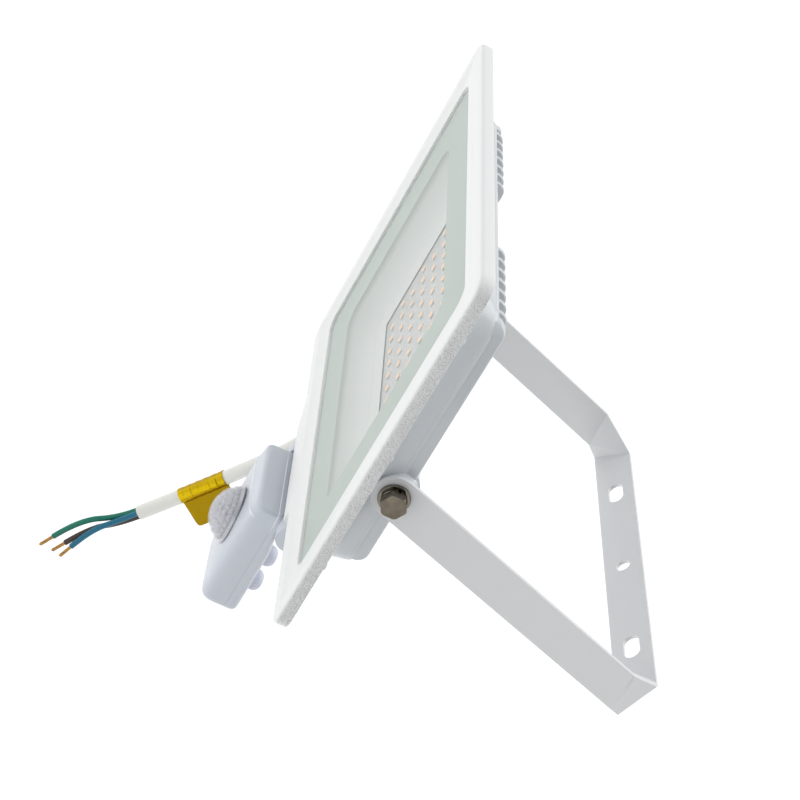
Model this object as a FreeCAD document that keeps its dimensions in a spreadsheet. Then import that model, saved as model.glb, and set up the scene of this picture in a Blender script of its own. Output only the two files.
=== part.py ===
import FreeCAD, Part
import math
import os
import Sketcher
from FreeCAD import Placement, Rotation, Vector

os.makedirs("parts", exist_ok=True)
doc = FreeCAD.newDocument("floodlight")
sheet = doc.addObject("Spreadsheet::Sheet", "Sizes")

# Driving sizes, in millimetres and degrees
driving_sizes = [
    ("head_tilt", 34.7),
    ("pivot_reach", 152.1),
    ("pivot_drop", 42.5),
    ("pivot_up", -20.2),
    ("pivot_front", -20.5),
    ("running_gap", 0.3),
    ("pin_play", 0.06),
    ("seat_gap", 0.1),
    ("strip_width", 20),
    ("strip_thick", 2),
    ("arm_clear", 0.9),
    ("arm_slope", 16.6),
    ("fold_round", 3),
    ("upper_bend_out", 20.9),
    ("lower_bend_out", 7.9),
    ("upper_corner_half", 96.2),
    ("centre_hole", 7.5),
    ("slot_spacing", 127),
    ("slot_width", 8.2),
    ("slot_length", 15.5),
    ("frame_width", 256.4),
    ("frame_height", 188.6),
    ("frame_corner", 9),
    ("frame_depth", 6.2),
    ("frame_edge_round", 1.4),
    ("glass_width", 216),
    ("glass_height", 152),
    ("glass_corner", 7),
    ("glass_thick", 3),
    ("glass_sink", 1.2),
    ("glass_play", 0.4),
    ("glass_edge", 0.4),
    ("glass_raise", 1.4),
    ("seal_thick", 0.5),
    ("ledge_width", 7),
    ("chin_drop", 6.1),
    ("chin_far", 36),
    ("chin_near", 41),
    ("chin_ramp", 23),
    ("rim_screw", 3),
    ("rim_screw_bite", 3.7),
    ("screw_hole_spare", 0.6),
    ("thread_core", 0.83),
    ("screw_beside_mouth", 6),
    ("screw_above_mouth", 3.8),
    ("screw_beside_glass", 7),
    ("screw_above_glass", 5.8),
    ("rim_screw_pitch", 62),
    ("flange_beside_screw", 4),
    ("flange_above_screw", 3.7),
    ("flange_thick", 2),
    ("mouth_width", 218),
    ("mouth_height", 156),
    ("mouth_corner", 32),
    ("back_draw_in", 12),
    ("back_height", 130),
    ("back_corner", 16),
    ("housing_depth", 22.5),
    ("housing_wall", 3),
    ("housing_round", 4),
    ("floor_depth", 18.6),
    ("fin_count", 8),
    ("fin_edge", 4.7),
    ("fin_thick", 2.4),
    ("fin_height", 4.9),
    ("fin_root", 3),
    ("fin_shoulder", 0.6),
    ("fin_mid_slope", 1.6),
    ("fin_mid_height", 2.8),
    ("fin_first", 33.2),
    ("fin_top", 68.2),
    ("fin_bottom", -52),
    ("fin_slope", 4.1),
    ("boss_round", 9.4),
    ("boss_inner", 93),
    ("bolt_thread", 6),
    ("bolt_length", 16),
    ("bolt_across", 10),
    ("bolt_head", 4),
    ("washer_round", 14),
    ("washer_thick", 1.6),
    ("spring_round", 11.4),
    ("spring_thick", 1.6),
    ("spring_split", 1.2),
    ("reflector_side_gap", 12),
    ("reflector_end_gap", 14),
    ("reflector_frame_gap", 2),
    ("reflector_floor_width", 144),
    ("reflector_floor_gap", 38),
    ("reflector_corner", 8),
    ("reflector_top", 5.2),
    ("reflector_sheet", 0.6),
    ("light_width", 112.8),
    ("light_height", 64.6),
    ("light_corner", 2),
    ("board_width", 166),
    ("board_height", 84),
    ("board_thick", 1.5),
    ("board_front", 16.7),
    ("led_columns", 9),
    ("led_rows", 6),
    ("led_pitch_across", 11.4),
    ("led_pitch_up", 10.9),
    ("led_long", 3.5),
    ("led_short", 2.8),
    ("led_high", 0.7),
    ("driver_width", 96),
    ("driver_height", 12),
    ("driver_thick", 1.6),
    ("driver_inset", 10),
    ("driver_front", 16.9),
    ("rectifier", 6),
    ("varistor", 7),
    ("fuse", 4),
    ("terminal_width", 16),
    ("terminal_height", 8),
    ("terminal_high", 3.5),
    ("small_screw", 3),
    ("board_screw_bite", 2.4),
    ("board_screw_inset", 4),
    ("arm_screw_side", 15),
    ("arm_screw_below", 7.1),
    ("arm_screw_above", 16.4),
    ("lug_gap", 0.3),
    ("gland_side", -50),
    ("gland_front", -16),
    ("gland_proud", 0.4),
    ("gland_thread", 12),
    ("gland_across", 15),
    ("gland_collar", 3),
    ("gland_nut_high", 7),
    ("gland_reach", 7),
    ("gland_boss_inside", 1.1),
    ("gland_bore_past", 2),
    ("sheath_short_of_boss", 4.2),
    ("sheath_round", 7.6),
    ("core_round", 3),
    ("copper_round", 1.6),
    ("copper_length", 9.5),
    ("wrap_start", 12),
    ("wrap_length", 26.6),
    ("wrap_thick", 0.35),
    ("flag_drop", 16),
    ("hinge_below", 8.6),
    ("hinge_front", -8),
    ("hinge_round", 12),
    ("hinge_pin", 4),
    ("lug_round", 14),
    ("lug_thick", 7),
    ("barrel_far", 29.4),
    ("barrel_near", 32.4),
    ("arm_plate_above", 6.6),
    ("arm_plate_gap", 2.5),
    ("arm_plate_front", 6.3),
    ("arm_plate_thick", 6.6),
    ("sensor_top", 2),
    ("sensor_drop", 64),
    ("sensor_top_width", 58),
    ("sensor_low_width", 48),
    ("sensor_face", 21),
    ("sensor_part_line", 8),
    ("sensor_back_high", 5),
    ("sensor_back_low", 1),
    ("sensor_back_bend", 26),
    ("sensor_wall", 2),
    ("sensor_corner", 8),
    ("sensor_edge_round", 6),
    ("lens_up", -27),
    ("lens_round", 31),
    ("lens_high", 11.5),
    ("lens_wall", 0.8),
    ("lens_flange", 35),
    ("lens_ring_round", 35.5),
    ("lens_ring_high", 1),
    ("sensor_board_front", 11),
    ("sensor_board_width", 40),
    ("sensor_board_height", 37),
    ("sensor_screw_side", 21.5),
    ("sensor_screw_up", -10),
    ("sensor_screw_low", -55.5),
    ("sensor_post", 6),
    ("screw_sink", 2),
    ("seam", 0.2),
    ("detector_round", 9.2),
    ("detector_high", 4.5),
    ("relay_long", 19),
    ("relay_wide", 9),
    ("relay_high", 6.5),
    ("resistor_high", 3.2),
    ("knob_side", 12),
    ("time_knob_up", -32),
    ("knob_spacing", 16.3),
    ("knob_round", 11),
    ("knob_high", 4),
    ("knob_shaft", 6),
]

# Sizes that follow from the ones above
following_sizes = [
    ("arm_face", "mouth_width / 2 + arm_clear"),
    ("rim_screw_out", "max(mouth_width / 2 + screw_beside_mouth; glass_width / 2 + screw_beside_glass)"),
    ("rim_screw_up", "max(mouth_height / 2 + screw_above_mouth; glass_height / 2 + screw_above_glass)"),
    ("flange_width", "2 * (rim_screw_out + flange_beside_screw)"),
    ("flange_height", "2 * (rim_screw_up + flange_above_screw)"),
    ("back_width", "mouth_width - back_draw_in"),
    ("fin_pitch", "(back_width / 2 - fin_first - fin_edge) / (fin_count - 1)"),
    ("mouth_inside", "mouth_width - 2 * housing_wall - reflector_side_gap"),
    ("mouth_inside_up", "mouth_height - 2 * housing_wall - reflector_end_gap"),
    ("window_width", "glass_width - 2 * ledge_width"),
    ("window_height", "glass_height - 2 * ledge_width"),
    ("reflector_rim_width", "min(mouth_inside; window_width - reflector_frame_gap)"),
    ("reflector_rim_height", "min(mouth_inside_up; window_height - reflector_frame_gap)"),
    ("reflector_floor_height", "back_height - reflector_floor_gap"),
    ("driver_up", "driver_inset - back_height / 2"),
    ("gland_seat", "-mouth_height / 2 - gland_proud"),
    ("gland_boss", "gland_boss_inside - gland_seat - back_height / 2"),
    ("arm_screw_up", "-flange_height / 2 - arm_screw_below"),
    ("hinge_up", "min(-frame_height / 2 - chin_drop - hinge_below; arm_screw_up - arm_screw_above)"),
    ("arm_plate_low", "hinge_up + arm_plate_above"),
    ("arm_plate_high", "-flange_height / 2 - arm_plate_gap"),
]
cells = [(alias, str(amount)) for alias, amount in driving_sizes]
cells += [(alias, "=" + rule) for alias, rule in following_sizes]
for row, (alias, content) in enumerate(cells, start=1):
    sheet.set("A%d" % row, alias)
    sheet.set("B%d" % row, content)
    sheet.setAlias("B%d" % row, alias)
doc.recompute()

nodes = []


def size(alias):
    return float(sheet.get(alias))


def number(rule):
    return float(sheet.evalExpression(rule.replace("Sizes.", "")))


def keep(piece, label):
    piece.Label = label
    nodes.append(piece)
    return piece


# Frames: the head's own frame has X across, Y up its face and Z out of its face
head_turn = Rotation(Vector(1, 0, 0), 90 + size("head_tilt"))
pivot_point = Vector(0, -size("pivot_reach"), -size("pivot_drop"))
pivot_in_head = Vector(0, size("pivot_up"), size("pivot_front"))
head_place = Placement(pivot_point - head_turn.multVec(pivot_in_head), head_turn)


def in_head(x, y, z, turn=Rotation()):
    return head_place * Placement(Vector(x, y, z), turn)


def in_sensor(x, y, z, turn=Rotation()):
    return in_head(x, y + size("hinge_up"), z + size("hinge_front"), turn)


along_x = Rotation(Vector(0, 1, 0), 90)
along_minus_x = Rotation(Vector(0, 1, 0), -90)
down_face = Rotation(Vector(1, 0, 0), 90)
to_back = Rotation(Vector(1, 0, 0), 180)


# Sketch and feature helpers
def new_body(label, place):
    body = doc.addObject("PartDesign::Body", label)
    body.Placement = place
    return keep(body, label)


def new_sketch(body, name, role="XY_Plane", level="0"):
    sketch = body.newObject("Sketcher::SketchObject", body.Name + "_" + name)
    plane = [item for item in body.Origin.OriginFeatures if item.Role == role][0]
    sketch.AttachmentSupport = (plane, "")
    sketch.MapMode = "FlatFace"
    sketch.setExpression("AttachmentOffset.Base.z", level)
    return sketch


def bind_place(sketch, element, point, across, up):
    for kind, rule in (("DistanceX", across), ("DistanceY", up)):
        value = float(sketch.evalExpression(rule))
        name = "%s_%d_%d" % (kind.lower(), element, point)
        if value >= 0:
            index = sketch.addConstraint(Sketcher.Constraint(kind, -1, 1, element, point, value))
            sketch.renameConstraint(index, name)
            sketch.setExpression("Constraints." + name, rule)
        else:
            index = sketch.addConstraint(Sketcher.Constraint(kind, element, point, -1, 1, -value))
            sketch.renameConstraint(index, name)
            sketch.setExpression("Constraints." + name, "-(" + rule + ")")


def outline_sketch(body, name, points, role="XY_Plane", level="0"):
    sketch = new_sketch(body, name, role, level)
    places = [(float(sketch.evalExpression(a)), float(sketch.evalExpression(b))) for a, b in points]
    count = len(points)
    for index in range(count):
        start = Vector(*places[index], 0)
        end = Vector(*places[(index + 1) % count], 0)
        sketch.addGeometry(Part.LineSegment(start, end))
    for index in range(count):
        sketch.addConstraint(Sketcher.Constraint("Coincident", index, 2, (index + 1) % count, 1))
    for index, (across, up) in enumerate(points):
        bind_place(sketch, index, 1, across, up)
    return sketch


def rounded_sketch(body, name, width, height, corner, level="0", across="0", up="0"):
    sketch = new_sketch(body, name, "XY_Plane", level)
    wide, high, turn, shift, rise = [
        float(sketch.evalExpression(rule)) for rule in (width, height, corner, across, up)
    ]
    right, top = wide / 2, high / 2
    quarter = math.pi / 2
    sides = [
        ((-right + turn, -top), (right - turn, -top), (right - turn, -top + turn), -quarter),
        ((right, -top + turn), (right, top - turn), (right - turn, top - turn), 0),
        ((right - turn, top), (-right + turn, top), (-right + turn, top - turn), quarter),
        ((-right, top - turn), (-right, -top + turn), (-right + turn, -top + turn), 2 * quarter),
    ]
    for start, end, centre, angle in sides:
        first, last, middle = [Vector(x + shift, y + rise, 0) for x, y in (start, end, centre)]
        sketch.addGeometry(Part.LineSegment(first, last))
        circle = Part.Circle(middle, Vector(0, 0, 1), turn)
        sketch.addGeometry(Part.ArcOfCircle(circle, angle, angle + quarter))
    for index in range(8):
        sketch.addConstraint(Sketcher.Constraint("Tangent", index, 2, (index + 1) % 8, 1))
    for index, kind in ((0, "Horizontal"), (2, "Vertical"), (4, "Horizontal"), (6, "Vertical")):
        sketch.addConstraint(Sketcher.Constraint(kind, index))
    for index in (3, 5, 7):
        sketch.addConstraint(Sketcher.Constraint("Equal", 1, index))
    bound = [
        ("corner", Sketcher.Constraint("Radius", 1, turn), corner),
        ("width", Sketcher.Constraint("DistanceX", 6, 1, 2, 1, wide), width),
        ("height", Sketcher.Constraint("DistanceY", 0, 1, 4, 1, high), height),
    ]
    for title, constraint, rule in bound:
        index = sketch.addConstraint(constraint)
        sketch.renameConstraint(index, title)
        sketch.setExpression("Constraints." + title, rule)
    side_rule = "(%s) / 2 + (%s)" % (width, across)
    top_rule = "(%s) / 2 + (%s)" % (height, up)
    for title, kind, element, rule in (("right", "DistanceX", 2, side_rule), ("top", "DistanceY", 4, top_rule)):
        value = float(sketch.evalExpression(rule))
        index = sketch.addConstraint(Sketcher.Constraint(kind, -1, 1, element, 1, value))
        sketch.renameConstraint(index, title)
        sketch.setExpression("Constraints." + title, rule)
    return sketch


def circle_sketch(body, name, circles, role="XY_Plane", level="0"):
    sketch = new_sketch(body, name, role, level)
    for index, (across, up, diameter) in enumerate(circles):
        middle = Vector(float(sketch.evalExpression(across)), float(sketch.evalExpression(up)), 0)
        wide = float(sketch.evalExpression(diameter))
        sketch.addGeometry(Part.Circle(middle, Vector(0, 0, 1), wide / 2))
        bind_place(sketch, index, 3, across, up)
        bore = sketch.addConstraint(Sketcher.Constraint("Diameter", index, wide))
        sketch.renameConstraint(bore, "bore_%d" % index)
        sketch.setExpression("Constraints.bore_%d" % index, diameter)
    return sketch


def feature(body, kind, name, sketch, length, reverse=False):
    item = body.newObject("PartDesign::" + kind, body.Name + "_" + name)
    item.Profile = sketch
    item.setExpression("Length", length)
    item.Reversed = reverse
    doc.recompute()
    return item


def pad(body, name, sketch, length, reverse=False):
    return feature(body, "Pad", name, sketch, length, reverse)


def pocket(body, name, sketch, length, reverse=False):
    before = body.Shape.Volume
    item = feature(body, "Pocket", name, sketch, length, reverse)
    if body.Shape.Volume > before - 1e-6:
        raise ValueError(item.Name + " cuts nothing")
    return item


def edge_names(shape, wanted):
    return ["Edge%d" % (index + 1) for index, edge in enumerate(shape.Edges) if wanted(edge)]


def round_edges(body, name, radius, wanted, kind="Fillet"):
    base = body.Tip
    item = body.newObject("PartDesign::" + kind, body.Name + "_" + name)
    item.Base = (base, edge_names(base.Shape, wanted))
    item.setExpression("Radius" if kind == "Fillet" else "Size", radius)
    doc.recompute()
    return item


def edge_at_level(level):
    def wanted(edge):
        box = edge.BoundBox
        return abs(box.ZMin - level) < 1e-4 and abs(box.ZMax - level) < 1e-4
    return wanted


def primitive(kind, label, rules, place):
    piece = doc.addObject("Part::" + kind, label)
    for field, rule in rules.items():
        piece.setExpression(field, rule)
    piece.Placement = place
    return piece


def turned(outline, centre=Vector(), axis=Vector(0, 0, 1)):
    corners = [Vector(x, 0, z) for x, z in outline]
    face = Part.Face(Part.makePolygon(corners + corners[:1]))
    return face.revolve(centre, axis, 360)


def coded(label, shape, place=None):
    piece = doc.addObject("Part::Feature", label)
    piece.Shape = shape
    piece.Placement = (place or Placement()) * shape.Placement
    return keep(piece, label)


def hexagon(across, high):
    reach = across / math.sqrt(3)
    corners = [
        Vector(reach * math.cos(math.radians(60 * turn)), reach * math.sin(math.radians(60 * turn)), 0)
        for turn in range(6)
    ]
    return Part.Face(Part.makePolygon(corners + corners[:1])).extrude(Vector(0, 0, high))


# Bracket: one strip folded into a U with two slanting folds at each corner
def plane_cross(plane_a, plane_b, plane_c):
    rows = [plane_a, plane_b, plane_c]
    normals = [Vector(*row[0]) for row in rows]
    shifts = [row[1] for row in rows]
    base = normals[0].dot(normals[1].cross(normals[2]))
    total = normals[1].cross(normals[2]) * shifts[0]
    total += normals[2].cross(normals[0]) * shifts[1]
    total += normals[0].cross(normals[1]) * shifts[2]
    return total * (1 / base)


def solid_of_corners(outer, inner):
    # four outer corners, four inner corners, in the same order round the sheet
    faces = []
    loops = [outer, inner[::-1]]
    for loop in loops:
        faces.append(Part.Face(Part.makePolygon(loop + loop[:1])))
    for index in range(4):
        follow = (index + 1) % 4
        a, b, c, d = outer[index], outer[follow], inner[follow], inner[index]
        for corners in ([a, b, c], [a, c, d]):
            faces.append(Part.Face(Part.makePolygon(corners + corners[:1])))
    shell = Part.makeShell(faces)
    shell.sewShape()
    solid = Part.makeSolid(shell)
    if solid.Volume < 0:
        solid.reverse()
    return solid


def bracket_half():
    half = size("strip_width") / 2
    thick = size("strip_thick")
    face = size("arm_face")
    slope = math.radians(size("arm_slope"))
    along = Vector(0, math.cos(slope), math.sin(slope))
    edge_up = Vector(0, -math.sin(slope), math.cos(slope))
    pivot = Vector(face, -size("pivot_reach"), -size("pivot_drop"))
    upper_end = pivot + edge_up * half
    lower_end = pivot - edge_up * half
    upper_bend = upper_end - along * ((upper_end.y + size("upper_bend_out")) / along.y)
    lower_bend = lower_end - along * ((lower_end.y + size("lower_bend_out")) / along.y)
    upper_corner = Vector(size("upper_corner_half"), 0, half)
    slant = (lower_bend - upper_bend).cross(upper_corner - upper_bend).normalize()
    if slant.x < 0:
        slant = slant * -1
    arm_upper, arm_lower = (edge_up, edge_up.dot(upper_end)), (edge_up, edge_up.dot(lower_end))
    upright = Vector(0, 0, 1)
    layers = []
    for inset in (0, thick):
        arm = (Vector(1, 0, 0), face - inset)
        bevel = (slant, slant.dot(upper_bend) - inset)
        plate = (Vector(0, 1, 0), -inset)
        layers.append([
            Vector(face - inset, upper_end.y, upper_end.z),
            Vector(face - inset, lower_end.y, lower_end.z),
            plane_cross(arm, bevel, arm_lower),
            plane_cross(plate, bevel, (upright, -half)),
            Vector(0, -inset, -half),
            Vector(0, -inset, half),
            plane_cross(plate, bevel, (upright, half)),
            plane_cross(arm, bevel, arm_upper),
        ])
    outer, inner = layers
    pieces = []
    for loop in ((0, 1, 2, 7), (7, 2, 3, 6), (6, 3, 4, 5)):
        pieces.append(solid_of_corners([outer[i] for i in loop], [inner[i] for i in loop]))
    pieces.append(Part.makeCylinder(half, thick, pivot, Vector(-1, 0, 0)))
    folds = [(outer[7], outer[2]), (outer[6], outer[3])]
    return pieces, pivot, folds


def on_line(edge, ends):
    middle = edge.valueAt((edge.FirstParameter + edge.LastParameter) / 2)
    start, end = ends
    return (middle - (start + end) * 0.5).Length < 1


def slot_shape(width, length, thick):
    straight = length - width
    middle = Part.makeBox(straight, thick, width, Vector(-straight / 2, -thick, -width / 2))
    ends = [
        Part.makeCylinder(width / 2, thick, Vector(side * straight / 2, 0, 0), Vector(0, -1, 0))
        for side in (-1, 1)
    ]
    return middle.multiFuse(ends)


def make_bracket():
    pieces, pivot, folds = bracket_half()
    mirrored = [piece.mirror(Vector(), Vector(1, 0, 0)) for piece in pieces]
    strip = pieces[0].multiFuse(pieces[1:] + mirrored).removeSplitter()
    for ends in folds:
        other = [Vector(-point.x, point.y, point.z) for point in ends]
        chosen = [edge for edge in strip.Edges if on_line(edge, ends) or on_line(edge, other)]
        strip = strip.makeFillet(size("fold_round"), chosen)
    thick = size("strip_thick")
    cuts = [Part.makeCylinder(size("centre_hole") / 2, 3 * thick, Vector(0, thick, 0), Vector(0, -1, 0))]
    for side in (-1, 1):
        slot = slot_shape(size("slot_width"), size("slot_length"), 3 * thick)
        slot.translate(Vector(side * size("slot_spacing") / 2, thick, 0))
        cuts.append(slot)
        bore = size("bolt_thread") / 2 + size("pin_play")
        start = Vector(side * (pivot.x + thick), pivot.y, pivot.z)
        cuts.append(Part.makeCylinder(bore, 3 * thick, start, Vector(-side, 0, 0)))
    coded("yoke", strip.cut(cuts))


make_bracket()


# Front frame with its chin, the glass recess and the screw holes behind
def rim_screw_places():
    places = []
    for side in (-1, 1):
        for step in (-1, 0, 1):
            places.append(("%d * Sizes.rim_screw_out" % side, "%d * Sizes.rim_screw_pitch + 0.01" % step))
    for side in (-1, 1):
        for step in (-1, 1):
            places.append(("%d * Sizes.rim_screw_pitch" % step, "%d * Sizes.rim_screw_up" % side))
    return places


arm_screw_sides = ("-Sizes.arm_screw_side", "Sizes.arm_screw_side")


def make_front_frame():
    body = new_body("front_frame", head_place)
    outer = rounded_sketch(body, "outline", "Sizes.frame_width", "Sizes.frame_height", "Sizes.frame_corner")
    pad(body, "rim", outer, "Sizes.frame_depth", reverse=True)
    low = "-Sizes.frame_height / 2"
    chin = outline_sketch(body, "chin_line", [
        ("-Sizes.chin_far - Sizes.chin_ramp", low + " + 4"),
        ("-Sizes.chin_far - Sizes.chin_ramp", low),
        ("-Sizes.chin_far", low + " - Sizes.chin_drop"),
        ("Sizes.chin_near", low + " - Sizes.chin_drop"),
        ("Sizes.chin_near", low + " + 4"),
    ])
    pad(body, "chin", chin, "Sizes.frame_depth", reverse=True)
    front = edge_at_level(0)
    round_edges(body, "front_round", "Sizes.frame_edge_round", front)
    opening = rounded_sketch(
        body, "opening",
        "Sizes.window_width", "Sizes.window_height",
        "Sizes.glass_corner", up="Sizes.glass_raise",
    )
    pocket(body, "window", opening, "Sizes.frame_depth")
    seat = rounded_sketch(
        body, "seat", "Sizes.glass_width + 2 * Sizes.glass_play", "Sizes.glass_height + 2 * Sizes.glass_play",
        "Sizes.glass_corner + Sizes.glass_play", up="Sizes.glass_raise",
    )
    pocket(body, "glass_seat", seat, "Sizes.glass_sink + Sizes.glass_thick + Sizes.seal_thick")
    hole = "Sizes.rim_screw * Sizes.thread_core"
    holes = [(across, up, hole) for across, up in rim_screw_places()]
    back = circle_sketch(body, "rim_holes", holes, level="-Sizes.frame_depth")
    pocket(body, "rim_threads", back, "Sizes.rim_screw_bite + Sizes.screw_hole_spare", reverse=True)
    holes = [(across, "Sizes.arm_screw_up", "Sizes.small_screw * Sizes.thread_core") for across in arm_screw_sides]
    back = circle_sketch(body, "arm_holes", holes, level="-Sizes.frame_depth")
    pocket(body, "arm_threads", back, "Sizes.rim_screw_bite + Sizes.screw_hole_spare", reverse=True)


make_front_frame()


# Back housing: a lofted dish with a screwed flange, fins, pivot bosses and a cable boss
def board_screw_places():
    side = "(Sizes.board_width / 2 - Sizes.board_screw_inset)"
    end = "(Sizes.board_height / 2 - Sizes.board_screw_inset)"
    return [
        ("%d * %s" % (left, side), "Sizes.glass_raise + %d * %s + 0.01" % (low, end))
        for left in (-1, 1) for low in (-1, 0, 1)
    ]


def make_back_housing():
    body = new_body("back_housing", head_place)
    top = "-Sizes.frame_depth"
    back = "-Sizes.housing_depth"
    mouth = rounded_sketch(body, "mouth", "Sizes.mouth_width", "Sizes.mouth_height", "Sizes.mouth_corner", top)
    end = rounded_sketch(body, "end", "Sizes.back_width", "Sizes.back_height", "Sizes.back_corner", back)
    dish = body.newObject("PartDesign::AdditiveLoft", "back_housing_dish")
    dish.Profile = mouth
    dish.Sections = [end]
    doc.recompute()
    level = -size("housing_depth")
    round_edges(body, "back_round", "Sizes.housing_round", edge_at_level(level))
    flange = rounded_sketch(
        body, "flange_line", "Sizes.flange_width", "Sizes.flange_height",
        "Sizes.mouth_corner + (Sizes.flange_width - Sizes.mouth_width) / 2", top,
    )
    pad(body, "flange", flange, "Sizes.flange_thick", reverse=True)
    hollow_mouth = rounded_sketch(
        body, "hollow_mouth", "Sizes.mouth_width - 2 * Sizes.housing_wall",
        "Sizes.mouth_height - 2 * Sizes.housing_wall", "Sizes.mouth_corner - Sizes.housing_wall", top,
    )
    hollow_end = rounded_sketch(
        body, "hollow_end", "Sizes.back_width - 2 * Sizes.housing_wall",
        "Sizes.back_height - 2 * Sizes.housing_wall", "Sizes.back_corner - Sizes.housing_wall",
        "-Sizes.floor_depth",
    )
    hollow = body.newObject("PartDesign::SubtractiveLoft", "back_housing_hollow")
    hollow.Profile = hollow_mouth
    hollow.Sections = [hollow_end]
    doc.recompute()
    add_fins(body)
    add_pivot_bosses(body)
    add_cable_boss(body)
    holes = [(across, up, "Sizes.rim_screw + 0.4") for across, up in rim_screw_places()]
    drill = circle_sketch(body, "rim_holes", holes, level=top)
    pocket(body, "rim_bores", drill, "Sizes.flange_thick * 1.5")
    holes = [(across, up, "Sizes.small_screw * Sizes.thread_core") for across, up in board_screw_places()]
    drill = circle_sketch(body, "board_holes", holes, level="-Sizes.floor_depth")
    pocket(body, "board_threads", drill, "Sizes.board_screw_bite + 0.2")


def add_pivot_bosses(body):
    reach = "Sizes.arm_face - Sizes.strip_thick - Sizes.seat_gap"
    for side, level in (("near", "Sizes.boss_inner"), ("far", "-Sizes.boss_inner")):
        disc = circle_sketch(
            body, side + "_boss_line", [("Sizes.pivot_up", "Sizes.pivot_front", "2 * Sizes.boss_round")],
            "YZ_Plane", level,
        )
        pad(body, side + "_boss", disc, reach + " - Sizes.boss_inner", reverse=side == "far")
    bore = circle_sketch(
        body, "bolt_line", [("Sizes.pivot_up", "Sizes.pivot_front", "Sizes.bolt_thread")], "YZ_Plane",
        "Sizes.arm_face - Sizes.strip_thick + 1",
    )
    depth = "Sizes.bolt_length - Sizes.washer_thick - Sizes.spring_thick - Sizes.strip_thick + 3"
    pocket(body, "near_thread", bore, depth)
    bore = circle_sketch(
        body, "far_bolt_line", [("Sizes.pivot_up", "Sizes.pivot_front", "Sizes.bolt_thread")], "YZ_Plane",
        "-Sizes.arm_face + Sizes.strip_thick - 1",
    )
    pocket(body, "far_thread", bore, depth, reverse=True)


def add_cable_boss(body):
    disc = circle_sketch(
        body, "cable_boss_line", [("Sizes.gland_side", "Sizes.gland_front", "Sizes.gland_across")],
        "XZ_Plane", "-Sizes.gland_seat",
    )
    pad(body, "cable_boss", disc, "Sizes.gland_boss", reverse=True)
    bore = circle_sketch(
        body, "cable_bore_line", [("Sizes.gland_side", "Sizes.gland_front", "Sizes.gland_thread")],
        "XZ_Plane", "-Sizes.gland_seat",
    )
    pocket(body, "cable_bore", bore, "Sizes.gland_boss + Sizes.gland_bore_past")


def add_fins(body):
    tip = "-Sizes.housing_depth - Sizes.fin_height"
    root = "Sizes.fin_root - Sizes.housing_depth"
    shoulder = "-Sizes.housing_depth - Sizes.fin_shoulder"
    middle = "-Sizes.housing_depth - Sizes.fin_mid_height"
    for side, sign in (("near", 1), ("far", -1)):
        line = outline_sketch(body, side + "_fin_line", [
            ("Sizes.fin_top", root),
            ("Sizes.fin_top", shoulder),
            ("Sizes.fin_top - Sizes.fin_mid_slope", middle),
            ("Sizes.fin_top - Sizes.fin_slope", tip),
            ("Sizes.fin_bottom + Sizes.fin_slope", tip),
            ("Sizes.fin_bottom + Sizes.fin_mid_slope", middle),
            ("Sizes.fin_bottom", shoulder),
            ("Sizes.fin_bottom", root),
        ], "YZ_Plane", "%d * Sizes.fin_first - Sizes.fin_thick / 2" % sign)
        first = pad(body, side + "_fin", line, "Sizes.fin_thick")
        row = body.newObject("PartDesign::LinearPattern", "back_housing_%s_fins" % side)
        row.Originals = [first]
        row.Direction = ([item for item in body.Origin.OriginFeatures if item.Role == "X_Axis"][0], [""])
        row.Reversed = sign < 0
        row.setExpression("Length", "Sizes.fin_pitch * (Sizes.fin_count - 1)")
        row.setExpression("Occurrences", "Sizes.fin_count")
        body.Tip = row
        doc.recompute()


make_back_housing()


# Glass and its silicone seal, both seated in the frame
def make_glass():
    body = new_body("glass_pane", head_place)
    level = "-Sizes.glass_sink"
    line = rounded_sketch(
        body, "line", "Sizes.glass_width", "Sizes.glass_height", "Sizes.glass_corner", level,
        up="Sizes.glass_raise",
    )
    pad(body, "pane", line, "Sizes.glass_thick", reverse=True)
    round_edges(body, "edge", "Sizes.glass_edge", edge_at_level(-size("glass_sink")), "Chamfer")
    seal = new_body("glass_seal", head_place)
    level = "-Sizes.glass_sink - Sizes.glass_thick"
    line = rounded_sketch(
        seal, "line", "Sizes.glass_width", "Sizes.glass_height", "Sizes.glass_corner", level,
        up="Sizes.glass_raise",
    )
    pad(seal, "bead", line, "Sizes.seal_thick", reverse=True)
    line = rounded_sketch(
        seal, "inside", "Sizes.window_width + 1", "Sizes.window_height + 1",
        "Sizes.glass_corner + 0.5", level,
        up="Sizes.glass_raise",
    )
    pocket(seal, "opening", line, "Sizes.seal_thick")


make_glass()


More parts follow.
